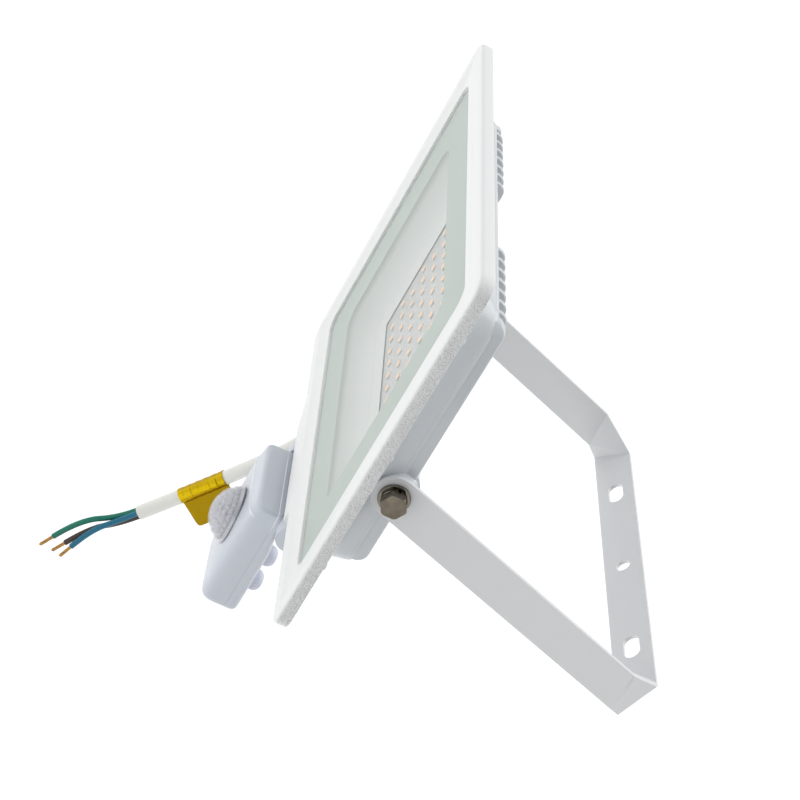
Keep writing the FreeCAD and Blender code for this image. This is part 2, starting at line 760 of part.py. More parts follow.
# Folded white reflector round the light field
def make_reflector():
    body = new_body("reflector", head_place)
    top = "-Sizes.reflector_top"
    floor = "-Sizes.board_front + Sizes.seat_gap + Sizes.reflector_sheet"
    rim = rounded_sketch(
        body, "rim", "Sizes.reflector_rim_width", "Sizes.reflector_rim_height",
        "Sizes.reflector_corner + 2", top, up="Sizes.glass_raise",
    )
    base = rounded_sketch(
        body, "base", "Sizes.reflector_floor_width", "Sizes.reflector_floor_height",
        "Sizes.reflector_corner", "-Sizes.board_front + Sizes.seat_gap", up="Sizes.glass_raise",
    )
    outside = body.newObject("PartDesign::AdditiveLoft", "reflector_outside")
    outside.Profile = rim
    outside.Sections = [base]
    doc.recompute()
    inner_rim = rounded_sketch(
        body, "inner_rim", "Sizes.reflector_rim_width - 3.6 * Sizes.reflector_sheet",
        "Sizes.reflector_rim_height - 3.6 * Sizes.reflector_sheet", "Sizes.reflector_corner + 1.5",
        top, up="Sizes.glass_raise",
    )
    inner_base = rounded_sketch(
        body, "inner_base", "Sizes.reflector_floor_width - 1.2 * Sizes.reflector_sheet",
        "Sizes.reflector_floor_height - 1.2 * Sizes.reflector_sheet", "Sizes.reflector_corner - 0.5",
        floor, up="Sizes.glass_raise",
    )
    inside = body.newObject("PartDesign::SubtractiveLoft", "reflector_inside")
    inside.Profile = inner_rim
    inside.Sections = [inner_base]
    doc.recompute()
    light = rounded_sketch(
        body, "light", "Sizes.light_width", "Sizes.light_height", "Sizes.light_corner", floor,
        up="Sizes.glass_raise",
    )
    pocket(body, "light_field", light, "Sizes.reflector_sheet")


make_reflector()


# Light board with its staggered rows of light-emitting diodes
def make_led_board():
    body = new_body("led_board", head_place)
    line = rounded_sketch(
        body, "line", "Sizes.board_width", "Sizes.board_height", "Sizes.light_corner",
        "-Sizes.board_front", up="Sizes.glass_raise",
    )
    pad(body, "plate", line, "Sizes.board_thick", reverse=True)
    pad_line = new_body("thermal_pad", head_place)
    line = rounded_sketch(
        pad_line, "line", "Sizes.board_width", "Sizes.board_height", "Sizes.light_corner",
        "-Sizes.board_front - Sizes.board_thick", up="Sizes.glass_raise",
    )
    pad(pad_line, "sheet", line, "Sizes.floor_depth - Sizes.board_front - Sizes.board_thick", reverse=True)
    for part, level in ((body, "-Sizes.board_front"), (pad_line, "-Sizes.board_front - Sizes.board_thick")):
        holes = [(across, up, "Sizes.small_screw") for across, up in board_screw_places()]
        drill = circle_sketch(part, "screw_line", holes, level=level)
        pocket(part, "screw_bores", drill, "Sizes.board_thick * 2")


def led_places():
    across, up = size("led_pitch_across"), size("led_pitch_up")
    columns, rows = int(size("led_columns")), int(size("led_rows"))
    places = []
    for row in range(rows):
        shift = across / 2 if row % 2 == 0 else 0
        for column in range(columns):
            x = (column - columns / 2 + 0.25) * across + shift
            places.append((x, (row - (rows - 1) / 2) * up + size("glass_raise")))
    return places


def make_leds():
    wide, tall, high = size("led_short"), size("led_long"), size("led_high")
    solids = []
    for x, y in led_places():
        corner = Vector(x - wide / 2, y - tall / 2, -size("board_front"))
        solids.append(Part.makeBox(wide, tall, high, corner))
    coded("leds", Part.makeCompound(solids), head_place)


make_led_board()
make_leds()


# Driver board under the reflector's lower slope, with what stands on it
def on_driver(label, kind, rules, x, y, lift=0.0, turn=Rotation()):
    z = -size("driver_front") + lift
    piece = primitive(kind, label, rules, in_head(x, size("driver_up") + y, z, turn))
    return keep(piece, label)


def make_driver():
    half = size("driver_height") / 2
    wide = size("driver_width")
    on_driver("driver_board", "Box", {
        "Length": "Sizes.driver_width", "Width": "Sizes.driver_height", "Height": "Sizes.driver_thick",
    }, -wide / 2, -half, -size("driver_thick"))
    on_driver("rectifier", "Box", {"Length": "Sizes.rectifier", "Width": "Sizes.rectifier",
                                   "Height": "Sizes.rectifier * 0.45"}, -8, -half)
    on_driver("varistor", "Cylinder", {"Radius": "Sizes.varistor / 2", "Height": "Sizes.varistor * 0.5"},
              14, size("varistor") / 2 - half, 0)
    on_driver("fuse", "Cylinder", {"Radius": "Sizes.fuse / 2", "Height": "Sizes.fuse * 2.6"},
              24, size("fuse") / 2 - half, size("fuse") / 2, along_x)
    on_driver("terminal_block", "Box", {
        "Length": "Sizes.terminal_width", "Width": "Sizes.terminal_height", "Height": "Sizes.terminal_high",
    }, -wide / 2 + 4, -half)


make_driver()


# Screws: pan heads on plain shanks, one node for each set of like screws
def pan_screw(shank, long):
    head, high = shank * 1.9, shank * 0.62
    profile = [(0, 0), (shank / 2, 0), (shank / 2, long), (head / 2, long),
               (head / 2, long + high * 0.55), (head * 0.3, long + high), (0, long + high)]
    body = turned(profile)
    bar = Part.makeBox(head * 0.55, shank * 0.16, high * 0.5, Vector(-head * 0.275, -shank * 0.08, long + high * 0.5))
    cross = bar.copy()
    cross.rotate(Vector(), Vector(0, 0, 1), 90)
    return body.cut([bar, cross])


def screw_set(label, places, shank, long, place=None):
    solids = []
    for spot in places:
        screw = pan_screw(shank, long)
        screw.Placement = spot
        solids.append(screw)
    coded(label, Part.makeCompound(solids), place)


def make_rim_screws():
    shank = size("rim_screw") * size("thread_core")
    long = size("flange_thick") + size("rim_screw_bite")
    start = size("rim_screw_bite") - size("frame_depth")
    places = []
    for across, up in rim_screw_places():
        x, y = number(across), number(up)
        places.append(Placement(Vector(x, y, start), to_back))
    screw_set("rim_screws", places, shank, long, head_place)


make_rim_screws()


def make_board_screws():
    shank = size("small_screw") * size("thread_core")
    start = -size("floor_depth") - size("board_screw_bite")
    places = []
    for across, up in board_screw_places():
        x, y = number(across), number(up)
        places.append(Placement(Vector(x, y, start), Rotation()))
    screw_set("board_screws", places, shank, -size("board_front") - start, head_place)


make_board_screws()


# Pivot hardware on both sides of the head
def both_sides(shape_at):
    return Part.makeCompound([shape_at(side) for side in (-1, 1)])


def at_pivot(side, out):
    turn = along_x if side > 0 else along_minus_x
    return Placement(Vector(side * out, size("pivot_up"), size("pivot_front")), turn)


def make_pivot_hardware():
    start = size("arm_face") + size("seat_gap")
    spring = start + size("washer_thick")
    head = spring + size("spring_thick")

    def bolt(side):
        shape = hexagon(size("bolt_across"), size("bolt_head"))
        crown = Part.makeCone(size("bolt_across") * 0.62, size("bolt_across") * 0.46, size("bolt_head"))
        shape = shape.common(crown.fuse(Part.makeCylinder(size("bolt_across"), size("bolt_head") * 0.7)))
        shank = Part.makeCylinder(size("bolt_thread") / 2, size("bolt_length"), Vector(), Vector(0, 0, -1))
        shape = shape.fuse(shank).removeSplitter()
        shape.Placement = at_pivot(side, head)
        return shape

    def washer(side):
        shape = Part.makeCylinder(size("washer_round") / 2, size("washer_thick"))
        shape = shape.cut(Part.makeCylinder(size("bolt_thread") / 2 + 0.2, size("washer_thick")))
        shape = shape.makeFillet(0.3, [shape.Edges[0]])
        shape.Placement = at_pivot(side, start)
        return shape

    def spring_washer(side):
        shape = Part.makeCylinder(size("spring_round") / 2, size("spring_thick"))
        shape = shape.cut(Part.makeCylinder(size("bolt_thread") / 2 + 0.1, size("spring_thick")))
        split = size("spring_split")
        gap = Part.makeBox(size("spring_round"), split, size("spring_thick") * 2, Vector(0, -split / 2, -split / 2))
        gap.rotate(Vector(), Vector(1, 0, 0), 20)
        shape = shape.cut(gap)
        shape.Placement = at_pivot(side, spring)
        return shape

    coded("pivot_bolts", both_sides(bolt), head_place)
    coded("flat_washers", both_sides(washer), head_place)
    coded("spring_washers", both_sides(spring_washer), head_place)


make_pivot_hardware()


# Cable gland: threaded body, clamping seal and dome nut
def make_gland():
    bore = size("sheath_round") / 2 + size("running_gap")
    thread = size("gland_thread") / 2 - size("pin_play")
    collar, reach = size("gland_collar"), size("gland_reach")
    across, nut = size("gland_across"), size("gland_nut_high")
    neck = nut * 0.45
    level = size("gland_seat")
    seal_round = thread - 1.2
    stem = turned([(bore, -reach), (thread, -reach), (thread, 0), (thread, collar + neck), (bore, collar + neck)])
    collar_hex = hexagon(across - 0.1, collar)
    collar_hex = collar_hex.cut(Part.makeCylinder(bore, collar))
    body = stem.fuse(collar_hex).removeSplitter()
    body = body.cut(Part.makeCylinder(seal_round, neck, Vector(0, 0, collar)))
    body.Placement = Placement(Vector(size("gland_side"), level, size("gland_front")), down_face)
    coded("cable_gland", body, head_place)
    seal = turned([(size("sheath_round") / 2, collar), (seal_round, collar),
                   (seal_round, collar + neck - 1), (seal_round - 1, collar + neck + 0.6),
                   (size("sheath_round") / 2, collar + neck + 0.6)])
    seal.Placement = body.Placement
    coded("gland_seal", seal, head_place)
    dome = turned([(0, 0), (across * 0.6, 0), (across * 0.6, nut * 0.35), (across * 0.5, nut * 0.7),
                   (across * 0.36, nut), (0, nut)])
    shape = hexagon(across - 0.1, nut).common(dome)
    inside = turned([(0, 0), (thread + 0.01, 0), (thread + 0.01, neck), (thread - 1.4, neck + 1.4),
                     (bore, neck + 2), (bore, nut), (0, nut)])
    shape = shape.cut(inside)
    shape.Placement = Placement(Vector(size("gland_side"), level - collar, size("gland_front")), down_face)
    coded("gland_nut", shape, head_place)


make_gland()


# Cord: straight runs joined by tangent arcs, through points chosen by hand, in the part's own frame
sheath_inside = size("gland_seat") + size("gland_boss") - size("sheath_short_of_boss")
sheath_start = in_head(size("gland_side"), sheath_inside, size("gland_front")).Base
sheath_route = [sheath_start, (-50, -110.4, -110.7), (-50, -108.0, -160.0), (-50, -110.4, -222.8)]
core_routes = {
    "core_green": [(-51.6, -111.4, -222.76), (-51.6, -111.9, -235.0), (-52.0, -119.6, -254.0), (-50.5, -117.8, -272.0)],
    "core_blue": [(-48.4, -111.4, -222.76), (-48.4, -111.9, -235.0), (-46.6, -114.2, -250.0), (-46.0, -110.4, -264.5)],
    "core_brown": [(-50.0, -108.6, -222.87), (-50.0, -109.1, -235.0), (-50.2, -113.8, -251.0), (-49.6, -112.0, -268.0)],
}


def arc_route(points, share=0.45):
    spots = [Vector(*point) for point in points]
    edges, radii = [], []
    last = spots[0]
    for before, here, after in zip(spots, spots[1:], spots[2:]):
        into, out = (here - before), (after - here)
        turn = into.getAngle(out)
        shorter = min(into.Length, out.Length)
        reach = share * shorter
        radii.append(reach / math.tan(turn / 2))
        start = here - into.normalize() * reach
        end = here + out.normalize() * reach
        swing = (before - here).normalize() + (after - here).normalize()
        to_centre = swing.normalize() * (radii[-1] / math.cos(turn / 2))
        middle = here + to_centre - swing * radii[-1]
        edges.append(Part.makeLine(last, start))
        edges.append(Part.Arc(start, middle, end).toShape())
        last = end
    edges.append(Part.makeLine(last, spots[-1]))
    return Part.Wire(edges), radii


def tube(points, diameter):
    wire, radii = arc_route(points)
    start = Vector(*points[0])
    ahead = (Vector(*points[1]) - start).normalize()
    ring = Part.Wire(Part.makeCircle(diameter / 2, start, ahead))
    shape = wire.makePipeShell([ring], True, True)
    print("route radii", [round(radius, 1) for radius in radii], "length", round(wire.Length, 1))
    return shape, wire


def make_cord():
    shape, wire = tube(sheath_route, size("sheath_round"))
    coded("cable_sheath", shape)
    copper = []
    for label, route in core_routes.items():
        shape, path = tube(route, size("core_round"))
        coded(label, shape)
        end = Vector(*route[-1])
        ahead = (end - Vector(*route[-2])).normalize()
        copper.append(Part.makeCylinder(size("copper_round") / 2, size("copper_length"), end, ahead))
    coded("copper_ends", Part.makeCompound(copper))
    make_flag()


def make_flag():
    # a strip of foil wrapped round the sheath, its two ends stuck together as a flag
    low, high = Vector(*sheath_route[-2]), Vector(*sheath_route[-1])
    ahead = (high - low).normalize()
    start = low + ahead * size("wrap_start")
    outer = size("sheath_round") / 2 + size("wrap_thick")
    wrap = Part.makeCylinder(outer, size("wrap_length"), start, ahead)
    wrap = wrap.cut(Part.makeCylinder(size("sheath_round") / 2, size("wrap_length"), start, ahead))
    out = Vector(*flag_way)
    out = (out - ahead * out.dot(ahead)).normalize()
    side = ahead.cross(out)
    thick = size("wrap_thick") * 2
    near = outer - 0.5 * thick
    corners = [(0, near), (size("wrap_length"), near), (size("wrap_length"), near + size("flag_drop") * 0.8),
               (size("wrap_length") * 0.85, near + size("flag_drop")), (size("wrap_length") * 0.12, near + size("flag_drop")),
               (0, near + size("flag_drop") * 0.8)]
    spots = [start + ahead * x + out * y - side * (thick / 2) for x, y in corners]
    flag = Part.Face(Part.makePolygon(spots + spots[:1])).extrude(side * thick)
    coded("cable_flag", wrap.fuse(flag).removeSplitter())


flag_way = (0.56, 0.82, 0)
make_cord()


# Sensor arm: a moulded block behind the chin with two lugs for the hinge
def make_sensor_arm():
    body = new_body("sensor_arm", in_head(0, 0, 0))
    far = "-Sizes.barrel_far - Sizes.lug_gap - Sizes.lug_thick"
    near = "Sizes.barrel_near + Sizes.lug_gap + Sizes.lug_thick"
    plate = outline_sketch(body, "plate_line", [
        (far, "Sizes.arm_plate_low"), (near, "Sizes.arm_plate_low"),
        (near + " - 4", "Sizes.arm_plate_high"), (far + " + 4", "Sizes.arm_plate_high"),
    ], level="-Sizes.arm_plate_front")
    pad(body, "plate", plate, "Sizes.arm_plate_thick", reverse=True)
    ends = (("far", far, far + " + Sizes.lug_thick"), ("near", near + " - Sizes.lug_thick", near))
    for side, start, end in ends:
        lug = circle_sketch(
            body, side + "_lug_line", [("Sizes.hinge_up", "Sizes.hinge_front", "Sizes.lug_round")],
            "YZ_Plane", start,
        )
        pad(body, side + "_lug", lug, "Sizes.lug_thick")
        web = outline_sketch(body, side + "_web_line", [
            ("Sizes.hinge_up", "Sizes.hinge_front + Sizes.lug_round / 2 - 5"),
            ("Sizes.arm_plate_low + 2", "-Sizes.arm_plate_front"),
            ("Sizes.arm_plate_low + 2", "-Sizes.arm_plate_front - Sizes.arm_plate_thick"),
            ("Sizes.hinge_up", "Sizes.hinge_front - Sizes.lug_round / 2"),
        ], "YZ_Plane", start)
        pad(body, side + "_web", web, "Sizes.lug_thick")
    bore = circle_sketch(
        body, "pin_line", [("Sizes.hinge_up", "Sizes.hinge_front", "Sizes.hinge_pin")], "YZ_Plane",
        near + " + 1",
    )
    pocket(body, "pin_bore", bore, near + " - (" + far + ") + 2")
    holes = [(across, "Sizes.arm_screw_up", "Sizes.small_screw + 0.4") for across in arm_screw_sides]
    drill = circle_sketch(body, "screw_line", holes, level="-Sizes.arm_plate_front")
    pocket(body, "screw_bores", drill, "Sizes.arm_plate_thick")


def make_arm_hardware():
    far = size("barrel_far") + size("lug_gap") + size("lug_thick")
    near = size("barrel_near") + size("lug_gap") + size("lug_thick")
    pin = Part.makeCylinder(size("hinge_pin") / 2, far + near)
    pin = pin.makeChamfer(0.3, [edge for edge in pin.Edges if edge.Curve.TypeId == "Part::GeomCircle"])
    place = in_sensor(-far, 0, 0, along_x)
    coded("hinge_pin", pin, place)
    shank = size("small_screw") * size("thread_core")
    long = size("arm_plate_thick") + size("rim_screw_bite")
    start = -size("arm_plate_front") - size("arm_plate_thick") + long
    places = [Placement(Vector(side * size("arm_screw_side"), size("arm_screw_up"), start), to_back)
              for side in (-1, 1)]
    screw_set("arm_screws", places, shank, long, head_place)


make_sensor_arm()
make_arm_hardware()


# Sensor housing: two moulded shells, the back one with the hinge barrel
def sensor_outline(body, name, level, inset="0"):
    top = "Sizes.sensor_top - (%s)" % inset
    low = "Sizes.sensor_top - Sizes.sensor_drop + (%s)" % inset
    high_half = "Sizes.sensor_top_width / 2 - (%s)" % inset
    low_half = "Sizes.sensor_low_width / 2 - (%s)" % inset
    return outline_sketch(body, name, [
        ("-(%s)" % high_half, top), ("-(%s)" % low_half, low), (low_half, low), (high_half, top),
    ], level=level)


def upright_edge(edge):
    box = edge.BoundBox
    return abs(box.ZMax - box.ZMin) > 1 and abs(box.XMax - box.XMin) < 0.01 and abs(box.YMax - box.YMin) < 0.01


def make_sensor_front():
    body = new_body("sensor_front", in_sensor(0, 0, 0))
    line = sensor_outline(body, "line", "Sizes.sensor_part_line")
    pad(body, "block", line, "Sizes.sensor_face - Sizes.sensor_part_line")
    round_edges(body, "corners", "Sizes.sensor_corner", upright_edge)
    round_edges(body, "front_round", "Sizes.sensor_edge_round", edge_at_level(size("sensor_face")))
    hollow = sensor_outline(body, "hollow_line", "Sizes.sensor_part_line", "Sizes.sensor_wall + 0.6")
    pocket(body, "hollow", hollow, "Sizes.sensor_face - Sizes.sensor_part_line - Sizes.sensor_wall", reverse=True)
    ring = circle_sketch(body, "ring_line", [("0.01", "Sizes.lens_up", "Sizes.lens_ring_round")],
                         level="Sizes.sensor_face - 0.5")
    pad(body, "ring", ring, "Sizes.lens_ring_high + 0.5")
    bore = circle_sketch(body, "bore_line", [("0.01", "Sizes.lens_up", "Sizes.lens_round + 0.2")],
                         level="Sizes.sensor_face + Sizes.lens_ring_high")
    pocket(body, "lens_bore", bore, "Sizes.lens_ring_high + Sizes.sensor_wall + 1")
    posts = circle_sketch(body, "post_line", [
        (across, up, "Sizes.sensor_post") for across, up in sensor_screws
    ], level="Sizes.sensor_part_line")
    pad(body, "posts", posts, "Sizes.sensor_face - Sizes.sensor_part_line - 1")
    threads = circle_sketch(body, "thread_line", [
        (across, up, "Sizes.small_screw * Sizes.thread_core") for across, up in sensor_screws
    ], level="Sizes.sensor_part_line")
    pocket(body, "threads", threads, "Sizes.small_screw * 2.6", reverse=True)


sensor_screws = [
    ("-Sizes.sensor_screw_side", "Sizes.sensor_screw_up"),
    ("Sizes.sensor_screw_side", "Sizes.sensor_screw_up"),
    ("-Sizes.sensor_screw_side + 4", "Sizes.sensor_screw_low"),
    ("Sizes.sensor_screw_side - 4", "Sizes.sensor_screw_low"),
]


def make_sensor_back():
    body = new_body("sensor_back", in_sensor(0, 0, 0))
    line = sensor_outline(body, "line", "Sizes.sensor_part_line - Sizes.seam")
    pad(body, "block", line, "Sizes.sensor_part_line - Sizes.seam - Sizes.sensor_back_low", reverse=True)
    round_edges(body, "corners", "Sizes.sensor_corner", upright_edge)
    slope = outline_sketch(body, "slope_line", [
        ("Sizes.sensor_top + 1", "Sizes.sensor_back_high"),
        ("-Sizes.sensor_back_bend", "Sizes.sensor_back_low"),
        ("Sizes.sensor_top + 1", "Sizes.sensor_back_low - 1"),
    ], "YZ_Plane", "-Sizes.sensor_top_width")
    pocket(body, "slope", slope, "2 * Sizes.sensor_top_width", reverse=True)
    barrel = circle_sketch(body, "barrel_line", [("0.01", "0.01", "Sizes.hinge_round")], "YZ_Plane",
                           "-Sizes.barrel_far")
    pad(body, "barrel", barrel, "Sizes.barrel_far + Sizes.barrel_near")
    neck = outline_sketch(body, "neck_line", [
        ("-Sizes.hinge_round * 0.9", "Sizes.sensor_back_low + 0.6"), ("0.01", "-Sizes.hinge_round / 2"),
        ("Sizes.hinge_round * 0.3", "0.01"), ("0.01", "Sizes.sensor_part_line - Sizes.seam - 1"),
        ("-Sizes.hinge_round * 0.9", "Sizes.sensor_part_line - Sizes.seam - 1"),
    ], "YZ_Plane", "-Sizes.barrel_far")
    pad(body, "neck", neck, "2 * Sizes.barrel_far")
    hollow = outline_sketch(body, "hollow_line", [
        ("-Sizes.sensor_low_width / 2 + Sizes.sensor_wall + 2", "-Sizes.hinge_round * 1.1"),
        ("-Sizes.sensor_low_width / 2 + Sizes.sensor_wall + 2",
         "Sizes.sensor_top - Sizes.sensor_drop + Sizes.sensor_wall + 2"),
        ("Sizes.sensor_low_width / 2 - Sizes.sensor_wall - 2",
         "Sizes.sensor_top - Sizes.sensor_drop + Sizes.sensor_wall + 2"),
        ("Sizes.sensor_low_width / 2 - Sizes.sensor_wall - 2", "-Sizes.hinge_round * 1.1"),
    ], level="Sizes.sensor_part_line - Sizes.seam")
    pocket(body, "hollow", hollow, "Sizes.sensor_part_line - Sizes.seam - Sizes.sensor_back_low - Sizes.sensor_wall - 1")
    drill = circle_sketch(body, "screw_line", [
        (across, up, "Sizes.small_screw + 0.4") for across, up in sensor_screws
    ], level="Sizes.sensor_part_line")
    pocket(body, "screw_bores", drill, "Sizes.sensor_part_line + 2")
    sink = circle_sketch(body, "sink_line", [
        (across, up, "Sizes.small_screw * 2") for across, up in sensor_screws
    ], level="Sizes.sensor_back_low + Sizes.screw_sink")
    pocket(body, "screw_sinks", sink, "Sizes.screw_sink + 2")
    bore = circle_sketch(body, "pin_line", [("0.01", "0.01", "Sizes.hinge_pin + 2 * Sizes.pin_play")],
                         "YZ_Plane", "Sizes.barrel_near + 1")
    pocket(body, "pin_bore", bore, "Sizes.barrel_far + Sizes.barrel_near + 2")
    knobs = circle_sketch(body, "knob_line", [
        ("Sizes.knob_side", up, "Sizes.knob_shaft + 2 * Sizes.pin_play") for up in knob_rules
    ], level="Sizes.sensor_part_line")
    pocket(body, "knob_bores", knobs, "Sizes.sensor_part_line + 2")


knob_rules = ["Sizes.time_knob_up", "Sizes.time_knob_up - Sizes.knob_spacing"]
make_sensor_front()
make_sensor_back()


# Lens: a thin dome with a flange held behind the front shell
def make_lens():
    base, high, wall = size("lens_round") / 2, size("lens_high"), size("lens_wall")
    sphere = (base * base + high * high) / (2 * high)
    flange_top = size("sensor_face") - size("sensor_wall")
    foot = size("sensor_face") + size("lens_ring_high") - high * 0.02
    centre = foot + high - sphere
    outer = Part.makeSphere(sphere, Vector(0, 0, centre))
    inner = Part.makeSphere(sphere - wall, Vector(0, 0, centre))
    keep_high = Part.makeCylinder(base, 2 * high, Vector(0, 0, foot))
    dome = outer.common(keep_high)
    tube_wall = Part.makeCylinder(base, foot - flange_top, Vector(0, 0, flange_top))
    flange = Part.makeCylinder(size("lens_flange") / 2, wall, Vector(0, 0, flange_top - wall))
    solid = dome.multiFuse([tube_wall, flange])
    bore = Part.makeCylinder(base - wall, foot - flange_top + wall, Vector(0, 0, flange_top - wall))
    solid = solid.cut([bore, inner.common(keep_high)]).removeSplitter()
    coded("pir_lens", solid, in_sensor(0, size("lens_up"), 0))


make_lens()


# Inside the sensor: its board, the infrared detector, a relay and the two dial resistors
def on_sensor_board(label, kind, rules, x, y, behind=False):
    z = size("sensor_board_front")
    if behind:
        z -= size("driver_thick")
    turn = to_back if behind else Rotation()
    return keep(primitive(kind, label, rules, in_sensor(x, y, z, turn)), label)


def make_sensor_inside():
    wide, tall = size("sensor_board_width"), size("sensor_board_height")
    low = size("sensor_screw_low") + size("sensor_post") / 2 + size("running_gap")
    keep(primitive("Box", "sensor_board", {
        "Length": "Sizes.sensor_board_width", "Width": "Sizes.sensor_board_height",
        "Height": "Sizes.driver_thick",
    }, in_sensor(-wide / 2, low, size("sensor_board_front") - size("driver_thick"))), "sensor_board")
    on_sensor_board("infrared_detector", "Cylinder", {
        "Radius": "Sizes.detector_round / 2", "Height": "Sizes.detector_high"}, 0, size("lens_up"))
    on_sensor_board("relay", "Box", {
        "Length": "Sizes.relay_long", "Width": "Sizes.relay_wide", "Height": "Sizes.relay_high",
    }, -size("relay_long") / 2, low + 2)
    for label, up in (("time_resistor", size("time_knob_up")),
                      ("light_resistor", size("time_knob_up") - size("knob_spacing"))):
        keep(primitive("Cylinder", label, {
            "Radius": "Sizes.knob_shaft / 2 + 1", "Height": "Sizes.resistor_high",
        }, in_sensor(size("knob_side"), up, size("sensor_board_front") - size("driver_thick"), to_back)), label)


make_sensor_inside()


# Dials behind the sensor, each with a shaft into its resistor and a slot for a screwdriver
def make_dial(label, up):
    seat = size("sensor_back_low") - size("running_gap")
    radius, high = size("knob_round") / 2, size("knob_high")
    top = size("sensor_board_front") - size("driver_thick") - size("resistor_high") - size("running_gap")
    disc = Part.makeCylinder(radius, high, Vector(0, 0, seat - high))
    disc = disc.makeFillet(radius * 0.3, [edge for edge in disc.Edges if abs(edge.BoundBox.ZMax - (seat - high)) < 1e-6])
    shaft = Part.makeCylinder(size("knob_shaft") / 2, top - seat, Vector(0, 0, seat))
    slot = Part.makeBox(radius * 1.5, radius * 0.24, high * 0.3, Vector(-radius * 0.75, -radius * 0.12, seat - high))
    coded(label, disc.fuse(shaft).cut(slot).removeSplitter(), in_sensor(size("knob_side"), up, 0))


make_dial("time_dial", size("time_knob_up"))
make_dial("light_dial", size("time_knob_up") - size("knob_spacing"))


def make_sensor_screws():
    shank = size("small_screw") * size("thread_core")
    back = size("sensor_back_low") + size("screw_sink")
    long = size("sensor_part_line") - back + size("small_screw") * 2
    places = []
    for across, up in sensor_screws:
        x, y = number(across), number(up)
        places.append(Placement(Vector(x, y, back + long), to_back))
    screw_set("sensor_screws", places, shank, long, in_sensor(0, 0, 0))


make_sensor_screws()
doc.recompute()
for item in doc.Objects:
    if {"Invalid", "Error"} & set(item.State):
        raise ValueError("%s: %s" % (item.Name, item.State))
for node in nodes:
    if node.Shape.isNull() or not node.Shape.isValid():
        raise ValueError(node.Label + " has no valid shape")
    node.Shape.exportStep("parts/%s.step" % node.Label)
print(len(nodes), "parts written")
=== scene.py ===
import math
import bpy
import numpy as np
from mathutils import Matrix


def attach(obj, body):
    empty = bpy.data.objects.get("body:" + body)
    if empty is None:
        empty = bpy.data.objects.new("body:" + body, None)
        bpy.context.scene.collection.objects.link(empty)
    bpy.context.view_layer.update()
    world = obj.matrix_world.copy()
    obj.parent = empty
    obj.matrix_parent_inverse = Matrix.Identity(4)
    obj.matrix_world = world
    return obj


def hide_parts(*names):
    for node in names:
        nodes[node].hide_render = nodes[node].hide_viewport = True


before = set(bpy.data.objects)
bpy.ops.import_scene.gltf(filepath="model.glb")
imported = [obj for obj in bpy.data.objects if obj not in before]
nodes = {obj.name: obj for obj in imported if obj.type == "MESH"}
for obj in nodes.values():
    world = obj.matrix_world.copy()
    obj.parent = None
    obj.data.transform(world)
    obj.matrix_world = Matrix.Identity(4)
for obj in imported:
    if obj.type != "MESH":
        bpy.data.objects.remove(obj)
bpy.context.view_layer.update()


# Placing: the head's own frame has x across, y up its face and z out of its face, in millimetres
head = {"tilt": 34.7, "pivot": (0, -152.1, -42.5), "pivotInHead": (0, -20.2, -20.5)}


def rowPoints(points):
    return np.asarray(points, float) * 0.001


def headToRow(points):
    # turned about the pivot by the head's tilt, then put at the pivot's place in the row, in metres
    turn = math.radians(head["tilt"])
    axes = [[1, 0, 0], [0, -math.sin(turn), math.cos(turn)], [0, -math.cos(turn), -math.sin(turn)]]
    return rowPoints(turnTo(np.asarray(points, float) - head["pivotInHead"], head["pivot"], *axes))


def turnTo(points, origin, across, up, out):
    # local points along three directions from an origin
    return np.asarray(origin, float) + np.asarray(points, float) @ np.array([across, up, out], float)


# Mesh helpers: a block is a stack of rings and its faces
def meshPiece(name, vertices, faces, body, looks, slot, replaced=None, sharp=None):
    mesh = bpy.data.meshes.new(name)
    mesh.from_pydata(np.asarray(vertices).reshape(-1, 3).tolist(), [], faces)
    mesh.validate()
    mesh.polygons.foreach_set("use_smooth", [True] * len(mesh.polygons))
    for look in looks:
        mesh.materials.append(materials[look])
    if sharp is not None:
        mesh.set_sharp_from_angle(angle=math.radians(sharp))
    piece = bpy.data.objects.new(name, mesh)
    bpy.context.scene.collection.objects.link(piece)
    tellKit(piece, body, replaced)
    return piece


def tellKit(piece, body, replaced):
    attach(piece, body)
    if replaced:
        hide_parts(replaced)


def gridFaces(rings, closedRound=True, closedAlong=False):
    # quads between neighbouring rings, each ring of the same number of points
    rows, count = np.shape(rings)[:2]
    row = np.arange(rows if closedAlong else rows - 1)[:, None]
    step = np.arange(count if closedRound else count - 1)[None, :]
    nextRow = (row + 1) % rows
    nextStep = (step + 1) % count
    corners = [row * count + step, row * count + nextStep, nextRow * count + nextStep, nextRow * count + step]
    return np.stack(np.broadcast_arrays(*corners), axis=-1).reshape(-1, 4).tolist()


def cappedFaces(rings, first=True, last=True, flip=False, closedRound=True):
    # the same, with a cap on the first and the last ring
    rows, count = np.shape(rings)[:2]
    faces = gridFaces(rings, closedRound)
    if first:
        faces.append(list(range(count))[::-1])
    if last:
        faces.append(list(range((rows - 1) * count, rows * count)))
    return [face[::-1] for face in faces] if flip else faces


def mergedPiece(name, blocks, body, looks, slot, place=headToRow, **more):
    # several blocks of (points, faces) as one mesh
    vertices, faces, start = [], [], 0
    for points, sides in blocks:
        points = np.asarray(points).reshape(-1, 3)
        vertices.append(points)
        faces += [[corner + start for corner in side] for side in sides]
        start += len(points)
    return meshPiece(name, place(np.concatenate(vertices)), faces, body, looks, slot, **more)


